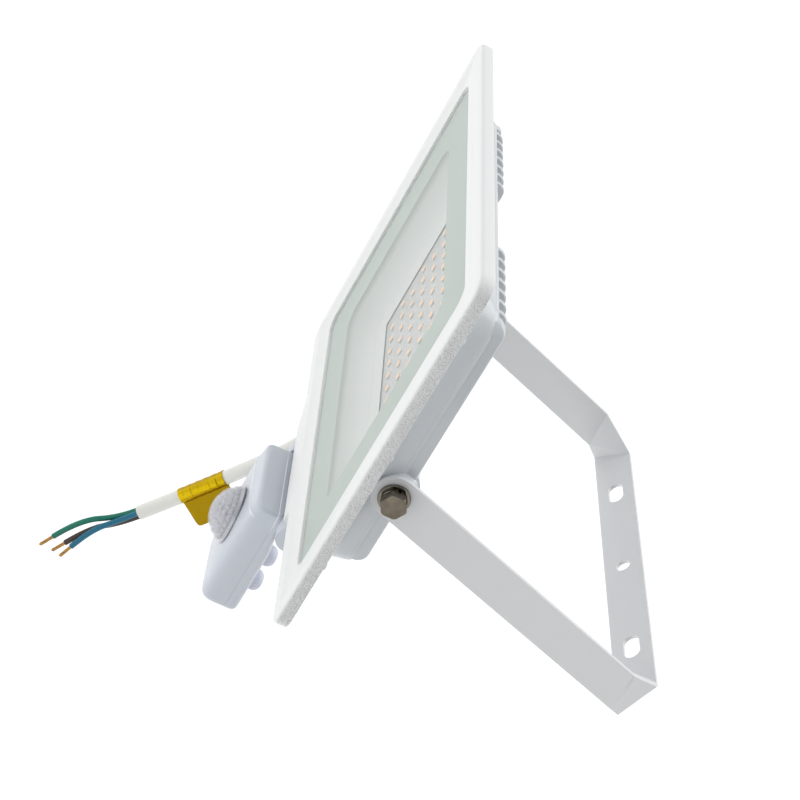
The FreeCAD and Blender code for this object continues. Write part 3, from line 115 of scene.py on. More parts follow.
def roundedLoop(halfWide, halfHigh, corner, rise=0.0, sideSteps=24, cornerSteps=10):
    # a rounded rectangle as (x, y), anticlockwise: each side's inner points, then the quarter circle after it
    radii = np.broadcast_to(np.asarray(corner, float), (4,))[:, None]
    signs = np.array([(1, -1), (1, 1), (-1, 1), (-1, -1)])
    middles = signs * (np.array([[halfWide, halfHigh]]) - radii)
    angle = np.linspace(0, math.pi / 2, cornerSteps + 1) + (np.arange(4)[:, None] - 1) * math.pi / 2
    arcs = middles[:, None] + radii[:, None] * np.stack([np.cos(angle), np.sin(angle)], axis=2)
    starts = np.roll(arcs[:, -1:], 1, axis=0)
    sides = starts + (arcs[:, :1] - starts) * np.linspace(0, 1, sideSteps + 1)[1:-1, None]
    return np.concatenate([sides, arcs], axis=1).reshape(-1, 2) + np.array([0, rise])


def atLevel(loop, level):
    return np.column_stack([loop, np.full(len(loop), float(level))])


def circle(steps):
    return np.linspace(0, 2 * math.pi, steps, endpoint=False)


def roundRing(angle, radius, level):
    # a ring whose radius may change with its angle
    return np.stack([radius * np.cos(angle), radius * np.sin(angle), np.full(len(angle), level)], axis=1)


def revolve(profile, steps=64):
    # rings of a profile of (radius, height) turned round the z axis
    return np.array([roundRing(circle(steps), radius, level) for radius, level in profile])


def arcProfile(centre, radius, first, last, steps=6):
    # points on an arc, from the first angle to the last in degrees
    angle = np.radians(np.linspace(first, last, steps))
    return [(centre[0] + radius * math.cos(a), centre[1] + radius * math.sin(a)) for a in angle]


def softStep(value):
    # 0 to 1 with level ends: 3v^2 - 2v^3
    value = np.clip(value, 0, 1)
    return value * value * (3 - 2 * value)


# Shader groups: each gives a height, a tone or a mask for a material to use
def fillSocket(tree, socket, value):
    if isinstance(value, bpy.types.NodeSocket):
        tree.links.new(value, socket)
    else:
        socket.default_value = value


def addNode(tree, kind, **values):
    # a value named in_ goes to that input, and a socket given there is linked
    node = tree.nodes.new(kind)
    for name, value in values.items():
        if name.startswith("in_"):
            fillSocket(tree, node.inputs[name[3:].replace("_", " ")], value)
        else:
            setattr(node, name, value)
    return node


def mathNode(tree, operation, *values, kind="ShaderNodeMath"):
    node = addNode(tree, kind, operation=operation)
    for socket, value in zip(node.inputs, values):
        fillSocket(tree, socket, value)
    return node.outputs[0]


def noiseNode(tree, vector, scale, detail, rough):
    return addNode(tree, "ShaderNodeTexNoise", in_Vector=vector, in_Scale=scale, in_Detail=detail,
                   in_Roughness=rough).outputs["Fac"]


def newGroup(name, inputs, build):
    # build gives the group's outputs by name
    group = bpy.data.node_groups.new(name, "ShaderNodeTree")
    for title, value in inputs.items():
        group.interface.new_socket(title, in_out="INPUT", socket_type="NodeSocketFloat").default_value = value
    place = addNode(group, "ShaderNodeTexCoord").outputs
    made = build(group, group.nodes.new("NodeGroupInput").outputs, place)
    for title in made:
        group.interface.new_socket(title, in_out="OUTPUT", socket_type="NodeSocketFloat")
    end = group.nodes.new("NodeGroupOutput")
    for title, socket in made.items():
        group.links.new(socket, end.inputs[title])
    return group


def surfaceGrain(tree, given, place):
    # fine grain over slow tone: height = noise at the grain's scale, tone = noise twenty times wider
    wide = mathNode(tree, "DIVIDE", given["Scale"], 20.0)
    return {"Height": noiseNode(tree, place["Object"], given["Scale"], 3.0, 0.55),
            "Tone": noiseNode(tree, place["Object"], wide, 4.0, 0.6)}


def sandCoat(tree, given, place):
    # blistered powder coat: smooth Voronoi cells warped by noise, with a slower noise over them
    warp = addNode(tree, "ShaderNodeTexNoise", in_Vector=place["Object"], in_Scale=620.0, in_Detail=2.0)
    shifted = mathNode(tree, "MULTIPLY_ADD", warp.outputs["Color"], (0.0008, 0.0008, 0.0008), place["Object"],
                       kind="ShaderNodeVectorMath")
    cells = addNode(tree, "ShaderNodeTexVoronoi", feature="SMOOTH_F1", in_Smoothness=0.6, in_Vector=shifted,
                    in_Scale=given["Scale"])
    bumps = mathNode(tree, "MULTIPLY", cells.outputs["Distance"], 0.8)
    return {"Height": mathNode(tree, "ADD", bumps, noiseNode(tree, place["Object"], 520.0, 3.0, 0.6))}


def sideFacing(tree, given, place):
    # mask of the surfaces that face across the head, from the surface's normal along x
    split = addNode(tree, "ShaderNodeSeparateXYZ", in_Vector=place["Normal"])
    spread = addNode(tree, "ShaderNodeMapRange", in_Value=mathNode(tree, "ABSOLUTE", split.outputs["X"]),
                     in_From_Min=given["Low"], in_From_Max=given["High"])
    return {"Mask": spread.outputs["Result"]}


def brushedLines(tree, given, place):
    # brushed or turned metal: noise stretched along one axis of the object
    stretch = addNode(tree, "ShaderNodeCombineXYZ", in_X=given["Stretch"], in_Y=1.0, in_Z=1.0).outputs[0]
    drawn = mathNode(tree, "MULTIPLY", place["Object"], stretch, kind="ShaderNodeVectorMath")
    wide = mathNode(tree, "DIVIDE", given["Scale"], 3.0)
    return {"Height": noiseNode(tree, drawn, given["Scale"], 4.0, 0.65),
            "Tone": noiseNode(tree, place["Object"], wide, 5.0, 0.7)}


groups = {
    "grain": newGroup("surfaceGrain", {"Scale": 900.0}, surfaceGrain),
    "sand": newGroup("sandCoat", {"Scale": 1350.0}, sandCoat),
    "side": newGroup("sideFacing", {"Low": 0.45, "High": 0.97}, sideFacing),
    "brush": newGroup("brushedLines", {"Scale": 300.0, "Stretch": 18.0}, brushedLines),
}


# Materials: one builder, with a pattern group for roughness, tone and bump
def newMaterial(name, colour, rough, tone=0.03, roughSpread=0.08, pattern="grain", scale=900.0, bump=0.1,
                distance=0.0001, shader=(), second=None, tintBy="Tone"):
    material = bpy.data.materials.new(name)
    material.use_nodes = True
    tree = material.node_tree
    principled = tree.nodes["Principled BSDF"]
    for title, value in dict(shader).items():
        principled.inputs[title].default_value = value
    texture = addNode(tree, "ShaderNodeGroup", node_tree=groups[pattern], in_Scale=scale)
    dark = second or [channel * (1 - tone) for channel in colour]
    light = [min(1.0, channel * (1 + tone)) for channel in colour]
    colours = addNode(tree, "ShaderNodeMix", data_type="RGBA", in_Factor=texture.outputs[tintBy],
                      in_A=(*dark, 1), in_B=(*light, 1))
    spread = addNode(tree, "ShaderNodeMapRange", in_Value=texture.outputs["Tone"],
                     in_To_Min=max(0.02, rough - roughSpread), in_To_Max=min(1.0, rough + roughSpread))
    relief = addNode(tree, "ShaderNodeBump", in_Strength=bump, in_Distance=distance,
                     in_Height=texture.outputs["Height"])
    tree.links.new(colours.outputs["Result"], principled.inputs["Base Color"])
    tree.links.new(spread.outputs["Result"], principled.inputs["Roughness"])
    tree.links.new(relief.outputs["Normal"], principled.inputs["Normal"])
    return material


def tintOver(material, factor, colour, blend="MIX"):
    # another colour over the material's own, by a factor
    tree = material.node_tree
    base = tree.nodes["Principled BSDF"].inputs["Base Color"]
    mix = addNode(tree, "ShaderNodeMix", data_type="RGBA", blend_type=blend, in_Factor=factor,
                  in_A=base.links[0].from_socket, in_B=(*colour, 1))
    tree.links.new(mix.outputs["Result"], base)
    return material


def makeFrameMaterial():
    # smooth coat with orange peel, turning into a sandy coat on the sides
    material = newMaterial("frameCoat", (0.82, 0.825, 0.82), 0.4, tone=0.015, scale=500.0, bump=0.12,
                           distance=0.00015, shader={"Specular IOR Level": 0.2, "Coat Weight": 0.0})
    tree = material.node_tree
    normal = tree.nodes["Principled BSDF"].inputs["Normal"]
    mask = addNode(tree, "ShaderNodeGroup", node_tree=groups["side"]).outputs["Mask"]
    sand = addNode(tree, "ShaderNodeGroup", node_tree=groups["sand"]).outputs["Height"]
    sandy = addNode(tree, "ShaderNodeBump", in_Distance=0.0007, in_Strength=mask, in_Height=sand,
                    in_Normal=normal.links[0].from_socket)
    tree.links.new(sandy.outputs["Normal"], normal)
    return tintOver(material, mask, (0.92, 0.925, 0.92), "MULTIPLY")


def makeGlassMaterial():
    # clear pane: nearly see-through face on, more mirror the flatter the look along it
    material = newMaterial("clearPane", (0.93, 0.95, 0.94), 0.05, tone=0.0, roughSpread=0.02, scale=40.0,
                           bump=0.01, shader={"IOR": 1.5, "Specular IOR Level": 0.6})
    tree = material.node_tree
    facing = addNode(tree, "ShaderNodeLayerWeight", in_Blend=0.35)
    spread = addNode(tree, "ShaderNodeMapRange", in_Value=facing.outputs["Fresnel"], in_To_Min=0.04,
                     in_To_Max=0.17)
    tree.links.new(spread.outputs["Result"], tree.nodes["Principled BSDF"].inputs["Alpha"])
    return material


def makeInsulation(name, colour, stripe=None):
    # smooth insulation, with one lengthwise stripe where the core has two colours
    material = newMaterial(name, colour, 0.36, tone=0.06, scale=1500.0, bump=0.08,
                           shader={"Specular IOR Level": 0.4})
    if not stripe:
        return material
    tree = material.node_tree
    place = addNode(tree, "ShaderNodeAttribute", attribute_name="UVMap").outputs["Vector"]
    split = addNode(tree, "ShaderNodeSeparateXYZ", in_Vector=place)
    away = mathNode(tree, "ABSOLUTE", mathNode(tree, "SUBTRACT", split.outputs["Y"], 0.5))
    return tintOver(material, mathNode(tree, "LESS_THAN", away, 0.11), stripe)


def glow(colour, strength, **more):
    return {"Emission Color": (*colour, 1), "Emission Strength": strength, **more}


metal = {"Metallic": 1.0}
paint = {"Coat Weight": 0.3, "Coat Roughness": 0.08, "Specular IOR Level": 0.5}
materials = {
    "frame": makeFrameMaterial(),
    "housing": newMaterial("housingGloss", (0.62, 0.65, 0.675), 0.2, tone=0.012, roughSpread=0.05,
                           scale=420.0, bump=0.08, distance=0.00015, shader=paint),
    "yoke": newMaterial("yokeCoat", (0.73, 0.735, 0.74), 0.32, tone=0.015, scale=480.0, bump=0.12,
                        distance=0.00012, shader={"Coat Weight": 0.12, "Coat Roughness": 0.2}),
    "pane": makeGlassMaterial(),
    "print": newMaterial("glassBorder", (0.46, 0.525, 0.48), 0.5, tone=0.015, scale=700.0, bump=0.0),
    "silicone": newMaterial("silicone", (0.72, 0.72, 0.70), 0.6, scale=600.0),
    # painted light: the reflector sheet is dark and glows evenly, standing in for the light inside the window
    "reflector": newMaterial("reflectorSheetGlow", (0.18, 0.19, 0.185), 0.6, tone=0.01, scale=260.0,
                             bump=0.02, shader=glow((0.70, 0.73, 0.71), 0.6)),
    # painted shadow: dark grey for the strip of shade along the reflector's cut edge
    "gap": newMaterial("sheetEdgeShadow", (0.20, 0.21, 0.20), 0.7, tone=0.05),
    # painted light: the board and its tracks glow evenly, standing in for light that reaches them through the pane
    "board": newMaterial("boardMaskGlow", (0.25, 0.26, 0.25), 0.45, tone=0.02, bump=0.03,
                         shader=glow((0.68, 0.70, 0.69), 0.3)),
    "pads": newMaterial("boardTracksGlow", (0.33, 0.335, 0.33), 0.35, tone=0.02, scale=700.0, bump=0.04,
                        shader=glow((0.7, 0.71, 0.7), 0.3)),
    # partly painted shade: real solder pads, darkened to carry the shade on each light's near side
    "solderShade": newMaterial("solderShade", (0.13, 0.125, 0.115), 0.45, tone=0.12, scale=2600.0, bump=0.3,
                          shader={"Metallic": 0.4}),
    "ledCup": newMaterial("lightCup", (0.82, 0.80, 0.76), 0.4, scale=2000.0),
    # painted light: the amber resin glows, standing in for light that reaches it through the pane
    "phosphorGlow": newMaterial("phosphorGlow", (0.90, 0.42, 0.11), 0.42, tone=0.08, scale=4000.0, bump=0.15,
                            second=(0.82, 0.36, 0.08), shader=glow((0.95, 0.47, 0.15), 0.4)),
    "thermal": newMaterial("thermalPad", (0.35, 0.36, 0.4), 0.8, bump=0.3),
    "laminate": newMaterial("laminate", (0.03, 0.12, 0.06), 0.4),
    "resin": newMaterial("blackResin", (0.012, 0.012, 0.013), 0.35, scale=1500.0, bump=0.2),
    "disc": newMaterial("dippedDisc", (0.02, 0.07, 0.3), 0.25, scale=700.0),
    "terminal": newMaterial("terminalGrey", (0.5, 0.52, 0.51), 0.45, scale=1200.0),
    "zinc": newMaterial("zincSteel", (0.62, 0.62, 0.6), 0.3, pattern="brush", scale=500.0, bump=0.08,
                        tone=0.12, shader=metal),
    "bolt": newMaterial("boltSteel", (0.21, 0.18, 0.14), 0.2, pattern="brush", scale=330.0, bump=0.25,
                        tone=0.3, roughSpread=0.12, second=(0.02, 0.016, 0.012), shader=metal),
    "washer": newMaterial("washerSteel", (0.30, 0.27, 0.23), 0.2, pattern="brush", scale=300.0,
                          bump=0.15, tone=0.25, roughSpread=0.1, second=(0.03, 0.026, 0.02), shader=metal),
    "sensor": newMaterial("sensorShell", (0.60, 0.635, 0.69), 0.32, tone=0.006, roughSpread=0.01,
                          scale=1100.0, bump=0.03, shader={"Specular IOR Level": 0.45}),
    # painted highlight: a pale colour on the beads stands in for the glints along the sensor's ridges and seam
    "sensorHighlight": newMaterial("sensorHighlight", (0.93, 0.94, 0.98), 0.25, tone=0.01, scale=1100.0),
    "lensSkin": newMaterial("lensSkin", (0.74, 0.75, 0.785), 0.1, tone=0.01, roughSpread=0.02, bump=0.0,
                            shader={"Alpha": 0.26, "Coat Weight": 0.5}),
    "lensInside": newMaterial("lensFacets", (0.56, 0.565, 0.60), 0.13, tone=0.1, roughSpread=0.02,
                              bump=0.05, shader={"Specular IOR Level": 0.8, "Metallic": 0.3}),
    "gland": newMaterial("glandNylon", (0.76, 0.76, 0.74), 0.42, scale=1100.0, bump=0.08),
    "sheath": newMaterial("sheathRubber", (0.86, 0.855, 0.80), 0.45, scale=1400.0, bump=0.12),
    "green": makeInsulation("coreGreen", (0.002, 0.19, 0.125), (0.30, 0.40, 0.05)),
    "blue": makeInsulation("coreBlue", (0.002, 0.155, 0.26)),
    "brown": makeInsulation("coreBrown", (0.06, 0.038, 0.03)),
    "copper": newMaterial("copperStrand", (0.66, 0.40, 0.14), 0.3, pattern="brush", tone=0.2,
                          second=(0.16, 0.07, 0.02), roughSpread=0.12, shader=metal),
    "foil": newMaterial("yellowFoil", (0.90, 0.64, 0.002), 0.2, tone=0.05, pattern="brush", scale=26.0,
                        bump=0.5, distance=0.0012, second=(0.22, 0.12, 0.001), tintBy="Height",
                        shader={"Metallic": 0.95, "Coat Weight": 0.1}),
    # painted shade: darker copies of the foil for the wrap's shaded sides and for the tab
    "foilShadeBand": newMaterial("yellowFoilShadeBand", (0.58, 0.38, 0.001), 0.2, tone=0.05, pattern="brush",
                            scale=40.0, bump=0.5, distance=0.001, second=(0.30, 0.18, 0.001),
                            tintBy="Height", shader={"Metallic": 0.95}),
    "foilShade": newMaterial("yellowFoilSheetShade", (0.42, 0.27, 0.003), 0.26, tone=0.08, scale=420.0, bump=0.35,
                             distance=0.0006, second=(0.20, 0.12, 0.001), shader={"Metallic": 0.9}),
    "knob": newMaterial("knobPlastic", (0.66, 0.68, 0.78), 0.35, tone=0.02, scale=1300.0, bump=0.05),
    "can": newMaterial("detectorCan", (0.6, 0.6, 0.58), 0.25, pattern="brush", scale=500.0, shader=metal),
    "fuse": newMaterial("fuseGlass", (0.7, 0.75, 0.74), 0.1, shader={"Alpha": 0.5}),
}
print("materials ready")


# CAD nodes that keep their own shape: a fitting material and the width of their softened edges, in metres
dressed = {
    "yoke": ("yoke", 0.00035), "glass_seal": ("silicone", 0), "led_board": ("board", 0),
    "thermal_pad": ("thermal", 0), "driver_board": ("laminate", 0), "rectifier": ("resin", 0.0003),
    "varistor": ("disc", 0.0006), "fuse": ("fuse", 0.0002), "terminal_block": ("terminal", 0.0004),
    "rim_screws": ("housing", 0.00012), "board_screws": ("zinc", 0.00012), "arm_screws": ("zinc", 0.00012),
    "sensor_screws": ("zinc", 0.00012), "hinge_pin": ("zinc", 0), "sensor_arm": ("sensor", 0.0006),
    "cable_gland": ("gland", 0.0004), "gland_nut": ("gland", 0.0005), "gland_seal": ("silicone", 0.0002),
    "sensor_board": ("laminate", 0), "infrared_detector": ("can", 0.0003), "relay": ("resin", 0.0004),
    "time_resistor": ("disc", 0.0003), "light_resistor": ("disc", 0.0003),
}


def dressNode(name, look, edge):
    node = nodes[name]
    node.data.materials.clear()
    node.data.materials.append(materials[look])
    weld = node.modifiers.new("weld", "WELD")
    weld.merge_threshold = 0.00001
    if edge:
        bevel = node.modifiers.new("softEdge", "BEVEL")
        bevel.width = edge
        bevel.segments = 3
        bevel.limit_method = "ANGLE"
        bevel.angle_limit = math.radians(28)
        bevel.harden_normals = True


for nodeName, (look, edge) in dressed.items():
    dressNode(nodeName, look, edge)
print("nodes dressed")


# Front frame: rings of one profile carried round the outline, from the outer wall to the glass seat
frameRim = {
    "halfWide": 128.2, "halfHigh": 94.3, "corner": 9, "depth": 6.2, "edge": 1.7, "flat": 8.6,
    "crease": 0.35, "step": 0.3, "glassWide": 108.4, "glassHigh": 76.4, "glassCorner": 7.4,
    "glassRise": 1.4, "glassLevel": -1.15, "seat": -4.7, "openWide": 101, "openHigh": 69,
    "chinDrop": 6.1, "chinFar": -36, "chinNear": 41, "chinRamp": 23,
}


def outerLoop(inset, level, chin=1.0):
    # the outline drawn in by inset, its lower side let down over the chin on a soft ramp
    size = frameRim
    corner = size["corner"] - min(inset, 6)
    loop = roundedLoop(size["halfWide"] - inset, size["halfHigh"] - inset, corner, 0, 160)
    low = loop[:, 1] < -size["halfHigh"] + inset + 0.01
    x = loop[low, 0]
    ramp = softStep((x - size["chinFar"] + size["chinRamp"]) / size["chinRamp"])
    loop[low, 1] -= chin * size["chinDrop"] * np.where(x > size["chinNear"] - inset, 0.0, ramp)
    return atLevel(loop, level)


def innerLoop(halfWide, halfHigh, corner, level):
    return atLevel(roundedLoop(halfWide, halfHigh, corner, frameRim["glassRise"], 160), level)


def makeFrameRim():
    # back of the rim, outer wall, rounded front edge, flat face, crease, slope to the glass and its seat
    size = frameRim
    edge, back, flat, crease = size["edge"], -size["depth"], size["flat"], size["crease"]
    wide, high, corner, level = size["glassWide"], size["glassHigh"], size["glassCorner"], size["glassLevel"]
    rings = [innerLoop(size["openWide"], size["openHigh"], corner, back)]
    rings += [outerLoop(inset, height) for inset, height in (
        (0.5, back), (0.15, back + 0.15), (0, back + 0.5), (0, -edge - 1.6))]
    rings += [outerLoop(edge * (1 - math.cos(angle)), -edge * (1 - math.sin(angle)))
              for angle in np.radians(np.linspace(0, 90, 8))]
    rings += [outerLoop(flat - crease, 0, 0), outerLoop(flat, -0.06, 0),
              outerLoop(flat + crease, -size["step"], 0)]
    rings += [innerLoop(wide + grow, high + grow, corner + grow, height) for grow, height in (
        (0.8, level + 0.08), (0.2, level - 0.08), (0, level - 0.35), (0, size["seat"]))]
    rings.append(innerLoop(size["openWide"], size["openHigh"], corner, size["seat"]))
    mergedPiece("frontFrameRim", [(rings, gridFaces(rings, closedAlong=True))], "head", ["frame"],
                "white_casting", replaced="front_frame", sharp=38)


makeFrameRim()


# Glass pane and the pale border printed on its rear face
glass = {"halfWide": 108, "halfHigh": 76, "corner": 7, "front": -1.2, "back": -4.2, "edge": 0.35, "rise": 1.4}
border = {"level": -2.75, "thick": 0.05, "outWide": 107.7, "outHigh": 75.7, "inWide": 79.9, "inHigh": 54.05,
          "inRise": 1.75, "inShift": 1.3, "corners": (2.2, 11, 9, 9)}


def makeGlass():
    size = glass
    rings = []
    for inset, level in ((size["edge"], size["back"]), (0, size["back"] + size["edge"]),
                         (0, size["front"] - size["edge"]), (size["edge"], size["front"])):
        loop = roundedLoop(size["halfWide"] - inset, size["halfHigh"] - inset, size["corner"], size["rise"])
        rings.append(atLevel(loop, level))
    mergedPiece("glassPane", [(rings, cappedFaces(rings))], "head", ["pane"], "glass_printed",
                replaced="glass_pane", sharp=20)


def makeBorder():
    # a thin band between the pane's edge and the clear window
    size = border
    outside = roundedLoop(size["outWide"], size["outHigh"], glass["corner"], glass["rise"])
    inside = roundedLoop(size["inWide"], size["inHigh"], size["corners"], size["inRise"])
    inside[:, 0] += size["inShift"]
    low = size["level"] - size["thick"]
    rings = [atLevel(outside, low), atLevel(inside, low), atLevel(inside, size["level"]),
             atLevel(outside, size["level"])]
    mergedPiece("glassBorder", [(rings, gridFaces(rings, closedAlong=True))], "head", ["print"],
                "glass_printed", sharp=20)


makeGlass()
makeBorder()
print("frame and glass made")


# Reflector: a folded sheet from the seat down to the board, with its cut edge round the light field; the sheet glows
# with painted light, and a dark strip of painted shadow runs along the cut edge
sheet = {"rimWide": 100, "rimHigh": 68, "rimCorner": 10, "rimLevel": -5.2, "lip": 1, "baseWide": 72,
         "baseHigh": 46, "baseCorner": 8, "base": -16.0, "thick": 0.6, "openWide": 56.4, "openHigh": 35.75,
         "openRise": 1.25, "shadowLineWide": 0.35, "shadowLineHigh": 0.2, "shadowLineShift": (0.3, 0.15)}


def makeReflector():
    size = sheet
    grow = size["lip"]
    lip = roundedLoop(size["rimWide"] + grow, size["rimHigh"] + grow, size["rimCorner"] + grow)
    rim = roundedLoop(size["rimWide"], size["rimHigh"], size["rimCorner"])
    base = roundedLoop(size["baseWide"], size["baseHigh"], size["baseCorner"])
    field = roundedLoop(size["openWide"], size["openHigh"], 1, size["openRise"])
    level, low = size["rimLevel"], size["base"]
    under = low - size["thick"]
    rings = [atLevel(lip, level), atLevel(rim, level - 0.1)]
    rings += [atLevel(rim + (base - rim) * share, level + (low - level) * share)
              for share in (0.04, 0.5, 0.94, 1.0)]
    rings += [atLevel(base + (field - base) * 0.05, low), atLevel(field, low), atLevel(field, under),
              atLevel(base, under), atLevel(rim, level - size["thick"]), atLevel(lip, level - size["thick"])]
    # painted shadow: a dark strip along the sheet's cut edge, where shade falls, wider along the far side
    shrink = np.array([1 - size["shadowLineWide"] / size["openWide"], 1 - size["shadowLineHigh"] / size["openHigh"]])
    inner = field * shrink + np.array(size["shadowLineShift"])
    line = [atLevel(field, low - 0.02), atLevel(inner, low - 0.02), atLevel(inner, under), atLevel(field, under)]
    for name, loops, look, replaced in (("reflectorSheetGlow", rings, "reflector", "reflector"),
                                        ("reflectorEdgeShadow", line, "gap", None)):
        mergedPiece(name, [(loops, gridFaces(loops, closedAlong=True))], "head", [look], "reflector_white",
                    replaced=replaced, sharp=25)


makeReflector()


# Lights: a white cup with amber resin, a dull solder pad at each end and a pale track under it; the resin and the
# track glow with painted light, and the dark pads, the near one the larger, are partly painted shade
light = {"columns": 9, "rows": 6, "pitchX": 11.4, "pitchY": 10.9, "rise": 0.1, "level": -16.7, "wide": 2.8,
         "tall": 3.5, "high": 0.75, "cup": 0.16, "sink": 0.12, "padWide": 1.05, "padHigh": 0.12,
         "padShare": (0.5, 0.85), "trackWide": 7.4, "trackTall": 4.6, "trackHigh": 0.03}


def boxBlock(low, high, inset=0.0):
    # a box whose top is drawn in by inset
    (x0, y0, z0), (x1, y1, z1) = low, high
    ring = np.array([(x0, y0), (x1, y0), (x1, y1), (x0, y1)], float)
    inwards = np.array([(1, 1), (-1, 1), (-1, -1), (1, -1)])
    rings = [atLevel(ring, z0), atLevel(ring + inset * inwards, z1)]
    return np.array(rings), cappedFaces(rings)


def cupBlock():
    # an open cup: outer walls, rim, and walls down to the resin
    high, wall = light["high"], light["cup"]
    rings = [atLevel(roundedLoop(light["wide"] / 2 - inset, light["tall"] / 2 - inset, 0.12, 0, 1, 2), level)
             for inset, level in ((0, 0), (0, high * 0.7), (0.06, high), (wall, high),
                                  (wall + 0.08, high - light["sink"]))]
    return np.array(rings), gridFaces(rings)


def lightPlaces():
    # every other row stands half a pitch to the side
    row, column = np.divmod(np.arange(light["rows"] * light["columns"]), light["columns"])
    x = (column - light["columns"] / 2 + 0.25 + np.where(row % 2, 0, 0.5)) * light["pitchX"]
    y = (row - (light["rows"] - 1) / 2) * light["pitchY"] + light["rise"]
    return np.column_stack([x, y, np.full(len(x), light["level"])])


def makeLights():
    size = light
    half, tall, wall, reach = size["wide"] / 2, size["tall"] / 2, size["cup"], size["padWide"]
    low, high = (share * tall for share in size["padShare"])
    resin = boxBlock((wall - half, wall - tall, 0.1), (half - wall, tall - wall, size["high"] - 0.08), 0.05)
    # the near (+x) pad reaches further along the light than the far one: painted shade along each light's near side,
    # over a real pad
    pads = [boxBlock((-half - reach, -low, 0), (-half, low, size["padHigh"]), 0.08),
            boxBlock((half, -high, 0), (half + reach, high, size["padHigh"]), 0.08)]
    wide, deep = size["trackWide"] / 2, size["trackTall"] / 2
    track = boxBlock((-wide, -deep, 0), (wide, deep, size["trackHigh"]), 0.02)
    for name, shapes, look, replaced in (("lightCups", [cupBlock()], "ledCup", "leds"),
                                         ("lightResin", [resin], "phosphorGlow", None),
                                         ("lightPads", pads, "solderShade", None),
                                         ("lightTracks", [track], "pads", None)):
        blocks = [(points + spot, sides) for spot in lightPlaces() for points, sides in shapes]
        mergedPiece(name, blocks, "head", [look], "led_yellow", replaced=replaced, sharp=30)


makeLights()
print("lights made")


# Back housing: a dish of rounded rings with a fine step, its flange, fins and bosses
housing = {
    "flangeWide": 118.6, "flangeHigh": 85.2, "flangeCorner": 40, "flangeBack": -8.0, "flangeEdge": 0.4,
    "front": -6.2, "wide": (109, 103.2), "top": (79, 69.5), "bottom": (-70, -66.3), "topCorner": (26, 10),
    "lowCorner": (18, 8), "back": -22.5, "round": 2.6, "wall": 3, "floor": -18.6, "stepAt": 0.8,
    "step": 0.22, "fillet": 2.4,
}
fins = {"first": 33.2, "pitch": 9.3, "count": 7, "half": 1.3, "crown": 0.98, "tip": -27.4, "root": -19.6,
        "top": 68.3, "bottom": -52, "round": 4.6, "rail": (100.3, 2.5, -61.5), "railRise": 0.8,
        "railTurn": (59.5, 10)}
bosses = {
    "pivot": [(10.6, 92), (10.4, 100)] + arcProfile((11.4, 103.4), 2.3, 250, 182) + [(9.1, 106.4)]
    + arcProfile((8.3, 107.0), 0.75, 0, 90, 5) + [(0.01, 107.75)],
    "cable": [(7.5, 14.5), (7.5, 1.0)] + arcProfile((6.9, 0.6), 0.6, 0, -90, 5) + [(5.6, 0.0), (5.6, 14)],
    "cableAt": (-50, -78.4, -16),
}


def placeOnPivot(points, side, out=0.0):
    # local z runs along the pivot, away from the head's middle
    return turnTo(points, (side * out, *head["pivotInHead"][1:]), (0, 1, 0), (0, 0, side), (side, 0, 0))


def dishLoop(share, inset, level):
    # each size runs from its first value at the mouth to its second at the back
    wide, top, bottom, high, low = [housing[name][0] + (housing[name][1] - housing[name][0]) * share
                                    for name in ("wide", "top", "bottom", "topCorner", "lowCorner")]
    high, low = max(high - inset, 2), max(low - inset, 2)
    loop = roundedLoop(wide - inset, (top - bottom) / 2 - inset, (low, high, high, low), (top + bottom) / 2, 40, 16)
    return atLevel(loop, level)


def makeDish():
    # floor and inner wall, flange, fillet, outer wall with its step, and the round back edge
    size = housing
    front, flange, back, turn = size["front"], size["flangeBack"], size["back"], size["round"]
    depth, soft = back - front, size["flangeEdge"]
    rings = [dishLoop(1, size["wall"], size["floor"]), dishLoop(0, size["wall"], front)]
    for inset, level in ((soft, front), (0, front - soft), (0, flange + soft), (soft, flange)):
        loop = roundedLoop(size["flangeWide"] - inset, size["flangeHigh"] - inset, size["flangeCorner"], 0, 40, 16)
        rings.append(atLevel(loop, level))
    for angle in np.radians(np.linspace(0, 80, 5)):
        rings.append(dishLoop((flange - front) / depth, -size["fillet"] * (1 - math.sin(angle)),
                              flange - size["fillet"] * (1 - math.cos(angle))))
    for share in (0.3, 0.5, 0.7, size["stepAt"] - 0.012):
        rings.append(dishLoop(share, 0, front + depth * share))
    rings.append(dishLoop(size["stepAt"], size["step"], front + depth * size["stepAt"]))
    rings.append(dishLoop(1 - turn / abs(depth), size["step"], back + turn))
    for angle in np.radians(np.linspace(10, 90, 8)):
        level = back + turn * (1 - math.sin(angle))
        rings.append(dishLoop((level - front) / depth, size["step"] + turn * (1 - math.cos(angle)), level))
    return rings, cappedFaces(rings)


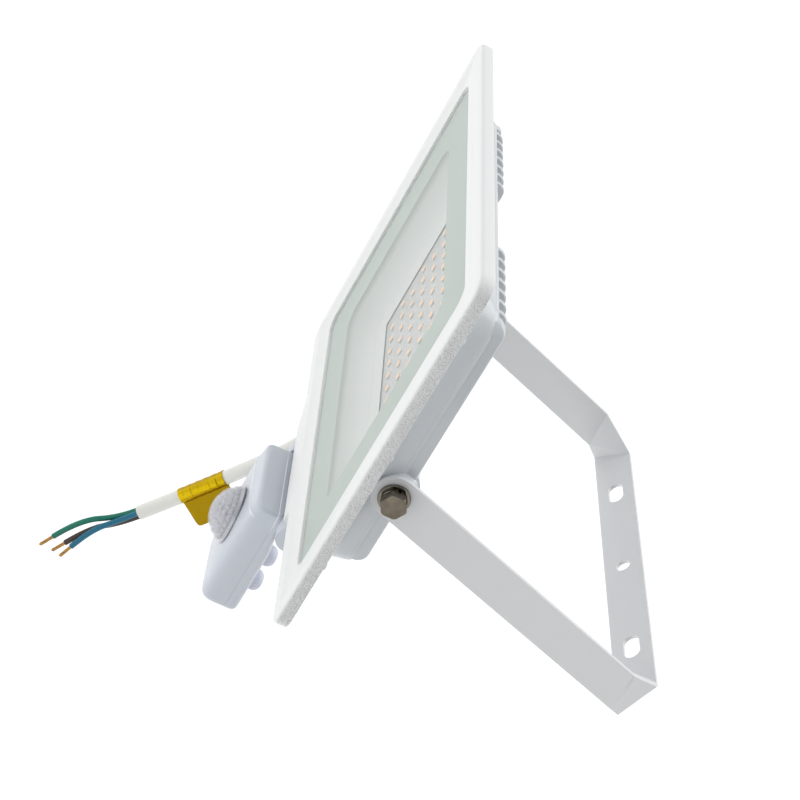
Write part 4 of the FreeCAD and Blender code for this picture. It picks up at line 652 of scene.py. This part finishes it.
def finBlock(x, half, bottom, rise=0.0, turnAt=None):
    # a bar with a round top, each end on a quarter circle; with turnAt it leans in with the dish's corner
    size = fins
    radius, crown, soft = size["round"], size["crown"], size["half"]
    angle = np.radians(np.linspace(0, 180, 9))
    middle = np.where(angle < math.pi / 2, half - soft, soft - half)
    across = np.concatenate([[half + 0.26, half + 0.03], middle + soft * np.cos(angle), [-half - 0.03, -half - 0.26]])
    lift = np.concatenate([[0.0], crown * np.sin(angle), [0.0]])
    turn = np.radians(np.linspace(0, 90, 9))
    y = np.concatenate([size["top"] - radius * (1 - np.cos(turn)), bottom + radius * (1 - np.cos(turn[::-1]))])
    sink = np.concatenate([radius * (1 - np.sin(turn)), radius * (1 - np.sin(turn[::-1]))])
    bend = np.zeros(len(y))
    if turnAt:
        past = np.clip((y - turnAt[0]) / turnAt[1], 0, 0.95)
        bend = -math.copysign(turnAt[1] * 0.8, x) * (1 - np.sqrt(1 - past * past))
    root = np.full((len(y), 1), size["root"])
    level = np.hstack([root, (size["tip"] + crown + rise + sink)[:, None] - lift, root])
    rings = np.stack([x + bend[:, None] + across, np.broadcast_to(y[:, None], level.shape), level], axis=2)
    return rings, cappedFaces(rings, closedRound=False)


def makeHousing():
    blocks = [makeDish()]
    x, half, bottom = fins["rail"]
    pivotBoss, cableBoss = revolve(bosses["pivot"], 72), revolve(bosses["cable"], 48)
    for side in (-1, 1):
        blocks += [finBlock(side * (fins["first"] + index * fins["pitch"]), fins["half"], fins["bottom"])
                   for index in range(fins["count"])]
        blocks.append(finBlock(side * x, half, bottom, fins["railRise"], fins["railTurn"]))
        blocks.append((placeOnPivot(pivotBoss, side), gridFaces(pivotBoss)))
    blocks.append((turnTo(cableBoss, bosses["cableAt"], (1, 0, 0), (0, 0, 1), (0, 1, 0)), gridFaces(cableBoss)))
    mergedPiece("housingShell", blocks, "head", ["housing"], "white_casting", replaced="back_housing", sharp=35)


makeHousing()
print("housing made")


# Pivot bolts with flat and split washers
bolt = {"across": 10.7, "head": 4, "coneFrom": 0.7, "coneBy": 0.36, "shank": 2.95, "length": 16, "washer": 7,
        "washerHole": 3.2, "washerThick": 1.6, "spring": 5.7, "springHole": 3.15, "springThick": 1.6,
        "split": 14, "start": 110.0}


def hexRings():
    # radius = distance to the hexagon's flat, cut by a cone near the top and by the eased corners
    across, high = bolt["across"], bolt["head"]
    corner = across / math.sqrt(3)
    angle = circle(144)
    folded = np.abs((angle + math.pi / 6) % (math.pi / 3) - math.pi / 6)
    flat = np.minimum(across / 2 / np.cos(folded), corner * 0.995)
    rings = []
    for share in (0.0, 0.04, 0.5, 0.62, 0.7, 0.76, 0.82, 0.88, 0.93, 0.97, 1.0):
        cone = corner * 1.01 - max(0.0, share - bolt["coneFrom"]) * high * bolt["coneBy"]
        limit = min(cone, corner - 0.25) if share == 0 else cone
        rings.append(roundRing(angle, np.minimum(flat, limit), high * share))
    reach = np.linalg.norm(rings[-1][:, :2], axis=1)
    for shrink, level, roundness in ((0.97, high + 0.02, 0), (0.9, high + 0.02, 0.2), (0.82, high, 1),
                                     (0.4, high - 0.02, 1), (0.01, high - 0.02, 1)):
        radius = shrink * (reach * (1 - roundness) + roundness * across / 2)
        rings.append(roundRing(angle, radius, level))
    return rings


def washerProfile():
    high, hole, edge = bolt["washerThick"], bolt["washerHole"], bolt["washer"] - 0.3
    return ([(hole, 0.1), (hole + 0.1, 0)] + arcProfile((edge, 0.3), 0.3, -90, 0, 4)
            + arcProfile((edge, high - 0.3), 0.3, 0, 90, 4) + [(hole + 0.1, high), (hole, high - 0.1)])


def splitRings():
    # an open helix of square section, its ends apart by the split
    radius, hole, thick, gap = bolt["spring"], bolt["springHole"], bolt["springThick"], bolt["split"]
    section = np.array([(hole, 0.08), (hole + 0.08, 0), (radius - 0.2, 0), (radius, 0.2), (radius, thick - 0.2),
                        (radius - 0.2, thick), (hole + 0.08, thick), (hole, thick - 0.08)])
    turn = np.radians(np.linspace(gap / 2, 360 - gap / 2, 70))[:, None]
    level = section[:, 1] * 0.82 + 0.14 + np.linspace(-0.5, 0.5, len(turn))[:, None] * 0.28
    return np.stack([section[:, 0] * np.cos(turn), section[:, 0] * np.sin(turn), level], axis=2)


def makePivotHardware():
    foot, radius = -bolt["length"], bolt["shank"]
    hexagon, washer, spring = hexRings(), revolve(washerProfile(), 96), splitRings()
    shank = revolve([(0.01, foot), (radius - 0.55, foot), (radius, foot + 0.6), (radius, 0.1)], 40)
    springLevel = bolt["start"] + bolt["washerThick"]
    headLevel = springLevel + bolt["springThick"]
    headParts = [(hexagon, cappedFaces(hexagon, last=False)), (shank, gridFaces(shank))]
    for name, parts, level, look, slot, replaced, sharp in (
            ("pivotBoltHeads", headParts, headLevel, "bolt", "bolt_steel", "pivot_bolts", 24),
            ("flatWashers", [(washer, gridFaces(washer, closedAlong=True))], bolt["start"], "washer",
             "zinc_steel", "flat_washers", 40),
            ("splitWashers", [(spring, cappedFaces(spring))], springLevel, "washer", "zinc_steel",
             "spring_washers", 40)):
        blocks = [(placeOnPivot(rings, side, level), faces) for side in (-1, 1) for rings, faces in parts]
        mergedPiece(name, blocks, "head", [look], slot, replaced=replaced, sharp=sharp)


makePivotHardware()


# Sensor: two shells lofted down the sensor, with a fold under a leaning cap and a squared foot
sensor = {"top": -106.2, "low": -172.4, "topHalf": 29, "lowHalf": 24.4, "front": 13, "backTop": 3, "backLow": 7,
          "bendAt": 0.41, "foldFar": -116.5, "foldNear": -113, "lean": 1.8, "draw": 0.4, "topRound": 2.0,
          "footRound": 3.4, "powers": {True: (5.6, 12), False: (5.6, 9)}, "lip": 0.03, "crown": 1.3, "steps": 96}
hinge = {
    "at": (0, -109, -8),
    "barrel": [(1.0, -29.4), (5.4, -29.4), (6.0, -28.8), (6.0, 31.8), (5.4, 32.4), (1.0, 32.4)],
    "neck": [(-9.8, -1.4), (-8, -3.0), (-2, -6.0), (2.6, -5.0), (3.6, -1.0), (1.6, 3.0), (-1, 5.0), (-9.8, 5.0)],
    "neckEnds": ((-28.6, 0.97), (-28.2, 1), (27.6, 1), (28.1, 0.97)),
}


def endDraw(away, radius):
    # how far the section draws in near an end, as a quarter circle
    near = np.clip(1 - away / radius, 0, 1)
    return radius * (1 - np.sqrt(1 - near * near))


def sensorRing(cap, body, front):
    # half a rounded square, |cos| and |sin| to the power 2/n: cap runs 0 to 1 from the top to the fold,
    # and body 0 to 1 from the fold to the foot
    size = sensor
    angle = np.linspace(0, math.pi, size["steps"])
    near, far = size["powers"][front]
    power = near + (far - near) * softStep(angle / math.pi)
    across = np.sign(np.cos(angle)) * np.abs(np.cos(angle)) ** (2 / power)
    out = np.abs(np.sin(angle)) ** (2 / power)
    foldAt = softStep((across * size["topHalf"] - 4) / 20)
    fold = size["foldFar"] + (size["foldNear"] - size["foldFar"]) * foldAt
    level = size["top"] + (fold - size["top"]) * cap + (size["low"] - fold) * body
    down = (size["top"] - level) / (size["top"] - size["low"])
    half = size["topHalf"] + (size["lowHalf"] - size["topHalf"]) * down - size["draw"] * (1 - cap)
    pull = endDraw(size["top"] - level, size["topRound"]) + endDraw(level - size["low"], size["footRound"])
    if front:
        crown = (1 - across ** 2) * softStep((down - 0.14) / 0.25) * softStep((1 - down) / 0.3)
        depth = size["front"] - size["lean"] * (1 - cap) + size["crown"] * crown - pull
    else:
        bend = np.clip(down / size["bendAt"], 0, 1)
        depth = size["backTop"] + (size["backLow"] - size["backTop"]) * bend - pull * 0.6
    sign = 1 if front else -1
    ring = np.stack([across * (half - pull), level, sign * (out * depth + size["lip"])], axis=1)
    lip = ring[[0, -1]].copy()
    lip[:, 2] = sign * size["lip"]
    return np.concatenate([lip[:1], ring, lip[1:]])


def sensorShell(front):
    # rings close together at the top, the fold and the foot
    tops = [(cap, 0) for cap in 1 - np.cos(np.linspace(0, math.pi / 2, 14))]
    rows = tops + [(1, body) for body in np.sin(np.linspace(0, math.pi / 2, 70))[1:]]
    rings = [sensorRing(cap, body, front) for cap, body in rows]
    return rings, cappedFaces(rings, flip=front)


def hingeBlocks():
    # the hinge barrel, and the web that joins it to the back shell
    barrel = turnTo(revolve(hinge["barrel"], 48), hinge["at"], (0, 1, 0), (0, 0, 1), (1, 0, 0))
    outline = np.array(hinge["neck"])
    neck = [np.column_stack([np.full(len(outline), x), outline * shrink + hinge["at"][1:]])
            for x, shrink in hinge["neckEnds"]]
    return [(barrel, gridFaces(barrel)), (neck, cappedFaces(neck))]


def beadBlock(path, normals, sides, proud):
    # a flat bead along a path: half-sunk ellipse, thinner towards its ends
    path, normals = np.asarray(path, float), np.asarray(normals, float)
    ahead = np.gradient(path, axis=0)
    ahead = ahead / np.linalg.norm(ahead, axis=1)[:, None]
    normals = normals / np.linalg.norm(normals, axis=1)[:, None]
    across = np.cross(ahead, normals)
    share = np.linspace(0, 1, len(path))
    thin = np.sqrt(np.clip(np.minimum(share, 1 - share) / 0.16, 0.02, 1))[:, None, None]
    turn = circle(12)[None, :, None]
    rings = path[:, None] + thin * (sides * np.cos(turn) * across[:, None] + proud * np.sin(turn) * normals[:, None])
    return rings, gridFaces(rings)


def makeSensor():
    for name, blocks, replaced in (("sensorFrontShell", [sensorShell(True)], "sensor_front"),
                                   ("sensorBackShell", [sensorShell(False)] + hingeBlocks(), "sensor_back")):
        mergedPiece(name, blocks, "sensor", ["sensor"], "sensor_plastic", replaced=replaced, sharp=50)
    # painted highlights: pale beads along the fold, the top edge and the near seam
    fold = sensorRing(1, 0, True)[1:-1]
    along = np.gradient(fold[:, [0, 2]], axis=0)
    normals = np.column_stack([along[:, 1], np.zeros(len(fold)), -along[:, 0]])
    kept = (fold[:, 2] > 9.5) & (fold[:, 0] > -28)
    upper = beadBlock(fold[kept], normals[kept], 0.5, 0.16)
    corner = sensorRing(0, 0, True)[1]
    top = [(x, corner[1]) for x in np.linspace(-corner[0], corner[0], 40)]
    down = [sensorRing(cap, 0, True)[1][:2] for cap in np.linspace(0.03, 1, 16)]
    down += [sensorRing(1, body, True)[1][:2] for body in (0.02, 0.05, 0.08)]
    path = np.array(top + down)
    ahead = np.gradient(path, axis=0)
    lower = beadBlock(atLevel(path, 0), atLevel(np.column_stack([-ahead[:, 1], ahead[:, 0]]), 0), 0.26, 0.14)
    mergedPiece("sensorHighlightBeads", [upper, lower], "sensor", ["sensorHighlight"], "sensor_plastic", sharp=60)


makeSensor()


# Lens: a clear outer dome on a short skirt, over an inner dome of pillowed facets
lens = {"at": (0, -135.7, 14.5), "radius": 15.4, "high": 11.3, "skirt": 0.5, "inside": 0.4, "under": 0.5,
        "relief": 1.1, "zones": (0.0, 0.2, 0.38, 0.56, 0.74, 0.9), "parts": (5, 9, 13, 17, 22), "around": 240}


def domeRings(radius, high, relief=0.0):
    # a cap of a sphere; each facet sinks towards its edges with the square of the way across it
    sphere = (radius * radius + high * high) / (2 * high)
    limit = math.asin(min(1.0, radius / sphere)) if high < sphere else math.pi / 2
    polar = np.linspace(0.002, limit, 70)
    share = polar / limit
    turn = circle(lens["around"])
    zones, parts = np.array(lens["zones"]), np.array(lens["parts"])
    zone = np.searchsorted(zones, share, side="right") - 1
    faceted = zone < len(parts)
    zone = np.minimum(zone, len(parts) - 1)
    along = 2 * (share - zones[zone]) / (zones[zone + 1] - zones[zone]) - 1
    across = 2 * ((turn / (2 * math.pi) * parts[zone][:, None]) % 1) - 1
    sink = relief * faceted[:, None] * np.maximum(along[:, None] ** 2, across ** 2)
    reach, polar = sphere - sink, polar[:, None]
    return np.stack([reach * np.sin(polar) * np.cos(turn), reach * np.sin(polar) * np.sin(turn),
                     reach * np.cos(polar) + high - sphere], axis=2)


def makeLensDome():
    radius, high = lens["radius"], lens["high"]
    skirt = revolve([(radius + 0.1, -lens["skirt"])], lens["around"])
    skin = np.concatenate([domeRings(radius, high), skirt])
    inner = domeRings(radius - lens["inside"], high - lens["under"], lens["relief"])
    for name, rings, look, replaced, sharp in (("lensSkin", skin, "lensSkin", "pir_lens", None),
                                               ("lensFacets", inner, "lensInside", None, 12)):
        mergedPiece(name, [(rings + np.array(lens["at"]), gridFaces(rings))], "sensor", [look],
                    "lens_plastic", replaced=replaced, sharp=sharp)


makeLensDome()


# Dials: ribbed discs with a driver slot, behind the sensor
dial = {"x": 12, "level": -7.3, "radius": 5.6, "high": 5.6, "ribs": 30, "rib": 0.1, "around": 240,
        "shaft": 3, "shaftLong": 12.4, "slot": (2.5, 0.4, 0.3),
        "rows": ((0.0, 0.2, 0), (0.05, 0.0, 0.4), (0.12, 0, 1), (0.36, 0, 1), (0.52, 0.12, 0.8),
                 (0.68, 0.42, 0.5), (0.82, 0.95, 0.2), (0.93, 1.6, 0), (1.0, 2.5, 0)),
        "places": {"timeDial": ("time_dial", "time_knob", -141), "lightDial": ("light_dial", "light_knob", -157.3)}}


def dialBlock():
    # rows of (share of the height, draw, share of the rib); radius = radius - draw + rib * cos(ribs * angle)
    turn = circle(dial["around"])
    rib = dial["rib"] * np.cos(turn * dial["ribs"])
    radius, high = dial["radius"] - 0.16, dial["high"]
    rings = [roundRing(turn, radius - inset + rib * relief, -high * share) for share, inset, relief in dial["rows"]]
    rings += [roundRing(turn, reach, sunk - high) for reach, sunk in ((2.8, 0), (2.6, 0.2), (0.02, 0.25))]
    return np.array(rings), cappedFaces(rings, last=False, flip=True)


def makeDials():
    wide, deep, high = dial["slot"]
    slotPoints, slotSides = boxBlock((-wide, -deep, 0), (wide, deep, high))
    shaft = revolve([(dial["shaft"], -0.1), (dial["shaft"], dial["shaftLong"]), (0.02, dial["shaftLong"])], 40)
    rings, faces = dialBlock()
    parts = [(rings, faces), (slotPoints - [0, 0, dial["high"] + 0.02], slotSides), (shaft, gridFaces(shaft))]
    for name, (node, body, up) in dial["places"].items():
        blocks = [(points + np.array([dial["x"], up, dial["level"]]), sides) for points, sides in parts]
        mergedPiece(name, blocks, body, ["knob"], "knob_plastic", replaced=node, sharp=30)


makeDials()
print("sensor made")


# Cord: sheath, three cores and their bare ends, on smooth lines through given points, in millimetres
cord = {"sheath": 7.6, "core": 3.0, "copper": 1.92, "copperLong": 9.5, "sunk": 0.3, "strands": 7, "twist": 2.6}
sheathRoute = [(-50, -128.531, -84.442), (-50, -110.4, -110.7), (-50, -108.0, -160.0), (-50, -110.4, -222.8)]
coreRoutes = {
    "green": [(-51.6, -111.4, -222.76), (-51.6, -111.9, -235.0), (-52.0, -119.6, -254.0), (-50.5, -117.8, -272.0)],
    "blue": [(-48.4, -111.4, -222.76), (-48.4, -111.9, -235.0), (-46.6, -114.2, -250.0), (-46.0, -110.4, -264.5)],
    "brown": [(-50.0, -108.6, -222.87), (-50.0, -109.1, -235.0), (-50.2, -113.8, -251.0), (-49.6, -112.0, -268.0)],
}


def splineCurve(name, route, diameter, caps=True):
    curve = bpy.data.curves.new(name, "CURVE")
    curve.dimensions = "3D"
    curve.resolution_u = 24
    curve.bevel_depth = diameter * 0.0005
    curve.bevel_resolution = 10
    curve.use_fill_caps = caps
    spline = curve.splines.new("NURBS")
    spline.points.add(len(route) - 1)
    for point, spot in zip(spline.points, rowPoints(route)):
        point.co = (*spot, 1)
    spline.order_u = 3
    spline.use_endpoint_u = True
    piece = bpy.data.objects.new(name, curve)
    bpy.context.scene.collection.objects.link(piece)
    return piece


def linePoints(route):
    # points along a route's own smooth line in metres, read from a curve with no bevel
    piece = splineCurve("line", route, 0, False)
    bpy.context.view_layer.update()
    mesh = bpy.data.meshes.new_from_object(piece.evaluated_get(bpy.context.evaluated_depsgraph_get()))
    points = np.array([vertex.co for vertex in mesh.vertices])
    curve = piece.data
    bpy.data.objects.remove(piece)
    bpy.data.curves.remove(curve)
    bpy.data.meshes.remove(mesh)
    return points


def unit(vector):
    return vector / np.linalg.norm(vector)


def tubeRings(middles, radius, side, third, steps):
    # rings round each middle: radius * (side * cos + third * sin)
    turn = circle(steps)[:, None]
    return middles[:, None] + np.reshape(radius, (-1, 1, 1)) * (np.cos(turn) * side + np.sin(turn) * third)


def strandBlocks(route):
    # seven twisted strands: one straight, six round it, with rounded tips
    line = linePoints(route) * 1000
    ahead = unit(line[-1] - line[-2])
    side = unit(np.cross(ahead, (1.0, 0.0, 0.0)))
    third = np.cross(ahead, side)
    wire = cord["copper"] / 6
    share = np.linspace(0, 1, 22)
    blocks = []
    for strand in range(cord["strands"]):
        angle = (strand * math.pi / 3 + share * cord["twist"])[:, None]
        reach = 0.0 if strand == 6 else 2 * wire
        long = cord["copperLong"] * (0.97 + 0.03 * math.cos(strand * 2.1))
        middles = line[-1] + ahead * (long * share - cord["sunk"])[:, None]
        middles = middles + reach * (side * np.cos(angle) + third * np.sin(angle))
        rings = tubeRings(middles, wire * np.where(share < 0.97, 1.0, 0.55), side, third, 10)
        blocks.append((rings, cappedFaces(rings, first=False)))
    return blocks


# Flag: foil wrapped round the sheath, its two ends stuck together and left bare
# fold gives the angles round the wrap, from the tab's side; nearer the tab than the first or farther than the second,
# the wrap takes the painted shade band
flagSizes = {"start": 11.2, "length": 26.6, "drop": 14.4, "skew": 0.2, "thick": 0.7, "wrap": 4.15,
             "wrapInside": 3.8, "way": (0.56, 0.82, 0), "corner": 3, "fold": (52, 128), "around": 64}


def makeFlag():
    size = flagSizes
    line = linePoints(sheathRoute) * 1000
    low, high = np.array(sheathRoute[-2]), np.array(sheathRoute[-1])
    ahead = unit(high - low)
    along = (line - low - ahead * size["start"]) @ ahead
    out = np.array(size["way"], float)
    out = unit(out - ahead * out.dot(ahead))
    side = np.cross(ahead, out)

    def middlesAt(spot):
        return np.stack([np.interp(spot, along, line[:, axis]) for axis in range(3)], axis=1)

    # the wrap: radius = wrap + two small waves along it, its ends turned in to the sheath
    share = np.linspace(0, 1, 110)
    waves = 0.07 * np.sin(share * 57) * np.cos(share * 21) + 0.05 * np.sin(share * 33 + 1)
    order = np.concatenate([[0], np.arange(110), [109]])
    radius = np.concatenate([[size["wrapInside"]], size["wrap"] + waves, [size["wrapInside"]]])
    rings = tubeRings(middlesAt(share * size["length"])[order], radius, out, side, size["around"])
    blocks = [(rings, gridFaces(rings))]
    # the tab: its free edge has rounded corners, and it curls with the square of the way out
    share, step = np.linspace(0, 1, 36), np.linspace(0, 1, 20)[:, None]
    spot = share * size["length"]
    edge = np.minimum(spot, size["length"] - spot)
    short = size["corner"] - np.sqrt(size["corner"] ** 2 - np.clip(size["corner"] - edge, 0, None) ** 2)
    reach = 3.4 + step * (size["drop"] + 0.4 - short)
    curl = 1.3 * step * step * np.sin(share * 2.4 + 0.4) + 0.12 * step * np.sin(share * 21 + step * 3)
    skew = np.broadcast_to(step * size["drop"] * size["skew"], reach.shape)
    for face in (-1, 1):
        proud = curl + face * size["thick"] / 2 * (1 - 0.7 * step)
        points = middlesAt(spot) + out * reach[..., None] - ahead * skew[..., None] + side * proud[..., None]
        faces = gridFaces(points, closedRound=False)
        blocks.append((points, faces if face > 0 else [item[::-1] for item in faces]))
    flag = mergedPiece("cableFlag", blocks, "head", ["foil", "foilShadeBand", "foilShade"], "yellow_foil",
                       place=rowPoints, replaced="cable_flag", sharp=60)
    # painted shade: the wrap takes a darker copy of the foil towards the tab and opposite it, and the tab takes the
    # darkest copy
    faces = np.arange(len(flag.data.polygons))
    half = size["around"] // 2
    turn = np.abs((faces + half) % size["around"] - half) * 180 / half
    kinds = np.where(faces >= len(blocks[0][1]), 2, (turn < size["fold"][0]) | (turn > size["fold"][1]))
    flag.data.polygons.foreach_set("material_index", kinds.astype(np.int32))
    return flag


def makeCord():
    tubes = [("cableSheath", "sheath", "cable_sheath", "sheath_rubber", sheathRoute, cord["sheath"], "stiff")]
    tubes += [("core_" + name, name, "core_" + name, "core_" + name, route, cord["core"], "medium")
              for name, route in coreRoutes.items()]
    ends = mergedPiece("copperStrands", sum([strandBlocks(route) for route in coreRoutes.values()], []), "head",
                       ["copper"], "copper", place=rowPoints, replaced="copper_ends", sharp=60)
    carried = {"sheath": [makeFlag()], "green": [ends]}
    for name, look, node, slot, route, diameter, stiffness in tubes:
        piece = splineCurve(name, route, diameter)
        piece.data.materials.append(materials[look])
        tellKit(piece, "head", node)
        length = float(np.linalg.norm(np.diff(linePoints(route), axis=0), axis=1).sum())


makeCord()
print("cord made")


# Stage: pale floor well below, soft lights and the photograph's camera
studio = {"brightWay": (-0.62, -0.05, 0.78), "dim": 0.13, "bright": 0.82, "sky": (0.98, 0.99, 1.0, 1),
          "floor": (0.93, 0.93, 0.93), "glow": 0.16, "floorHalf": 90, "floorLevel": -0.6}
lamps = {
    "skySoft": {"place": (-0.2, 0.3, 0.93), "spread": 50, "power": 1.2},
    "frontSoft": {"place": (-0.52, -0.76, 0.39), "spread": 50, "power": 0.23},
}
cameraPlace = {
    "location": (0.77841, -0.54169, 0.19677), "right": (-0.03698, 0.47146, 0.88111),
    "down": (0.52091, 0.76154, -0.38562), "ahead": (-0.85281, 0.44472, -0.27375), "lens": 87.5,
}


def makeFloor():
    half, level = studio["floorHalf"], studio["floorLevel"]
    mesh = bpy.data.meshes.new("floor")
    mesh.from_pydata([(-half, -half, level), (half, -half, level), (half, half, level), (-half, half, level)],
                     [], [(0, 1, 2, 3)])
    mesh.materials.append(newMaterial("paleFloor", studio["floor"], 0.9, tone=0.005, scale=60.0, bump=0.0,
                                      shader=glow((1, 1, 1), studio["glow"])))
    floor = bpy.data.objects.new("floor", mesh)
    bpy.context.scene.collection.objects.link(floor)


def makeWorld():
    # strength rises with the direction's turn towards the bright side; the camera sees plain white
    world = bpy.data.worlds.new("studio")
    world.use_nodes = True
    tree = world.node_tree
    side = addNode(tree, "ShaderNodeVectorMath", operation="DOT_PRODUCT")
    fillSocket(tree, side.inputs[0], addNode(tree, "ShaderNodeTexCoord").outputs["Generated"])
    fillSocket(tree, side.inputs[1], studio["brightWay"])
    spread = addNode(tree, "ShaderNodeMapRange", interpolation_type="SMOOTHSTEP", in_Value=side.outputs["Value"],
                     in_From_Min=-0.55, in_From_Max=0.7, in_To_Min=studio["dim"], in_To_Max=studio["bright"])
    ray = addNode(tree, "ShaderNodeLightPath").outputs["Is Camera Ray"]
    background = tree.nodes["Background"]
    fillSocket(tree, background.inputs["Color"], studio["sky"])
    fillSocket(tree, background.inputs["Strength"], mathNode(tree, "MAXIMUM", spread.outputs["Result"], ray))
    bpy.context.scene.world = world
    bpy.context.scene.view_settings.view_transform = "Standard"


def placeHolder(name, data, right, up, back, location):
    holder = bpy.data.objects.new(name, data)
    turn = Matrix(np.column_stack([right, up, back]).tolist())
    holder.matrix_world = Matrix.Translation(location) @ turn.to_4x4()
    bpy.context.scene.collection.objects.link(holder)
    return holder


def makeLamps():
    for name, facts in lamps.items():
        lamp = bpy.data.lights.new(name, "SUN")
        lamp.angle = math.radians(facts["spread"])
        lamp.energy = facts["power"]
        away = unit(np.array(facts["place"]))
        side = unit(np.cross((0, 0, 1), away))
        placeHolder(name, lamp, side, np.cross(away, side), away, facts["place"])


def makeCamera():
    camera = bpy.data.cameras.new("camera")
    camera.lens = cameraPlace["lens"]
    camera.sensor_width = 36
    camera.clip_start = 0.05
    camera.clip_end = 300
    right, down, ahead = (np.array(cameraPlace[name]) for name in ("right", "down", "ahead"))
    bpy.context.scene.camera = placeHolder("camera", camera, right, -down, -ahead, cameraPlace["location"])


makeFloor()
makeWorld()
makeLamps()
makeCamera()
print("stage made")
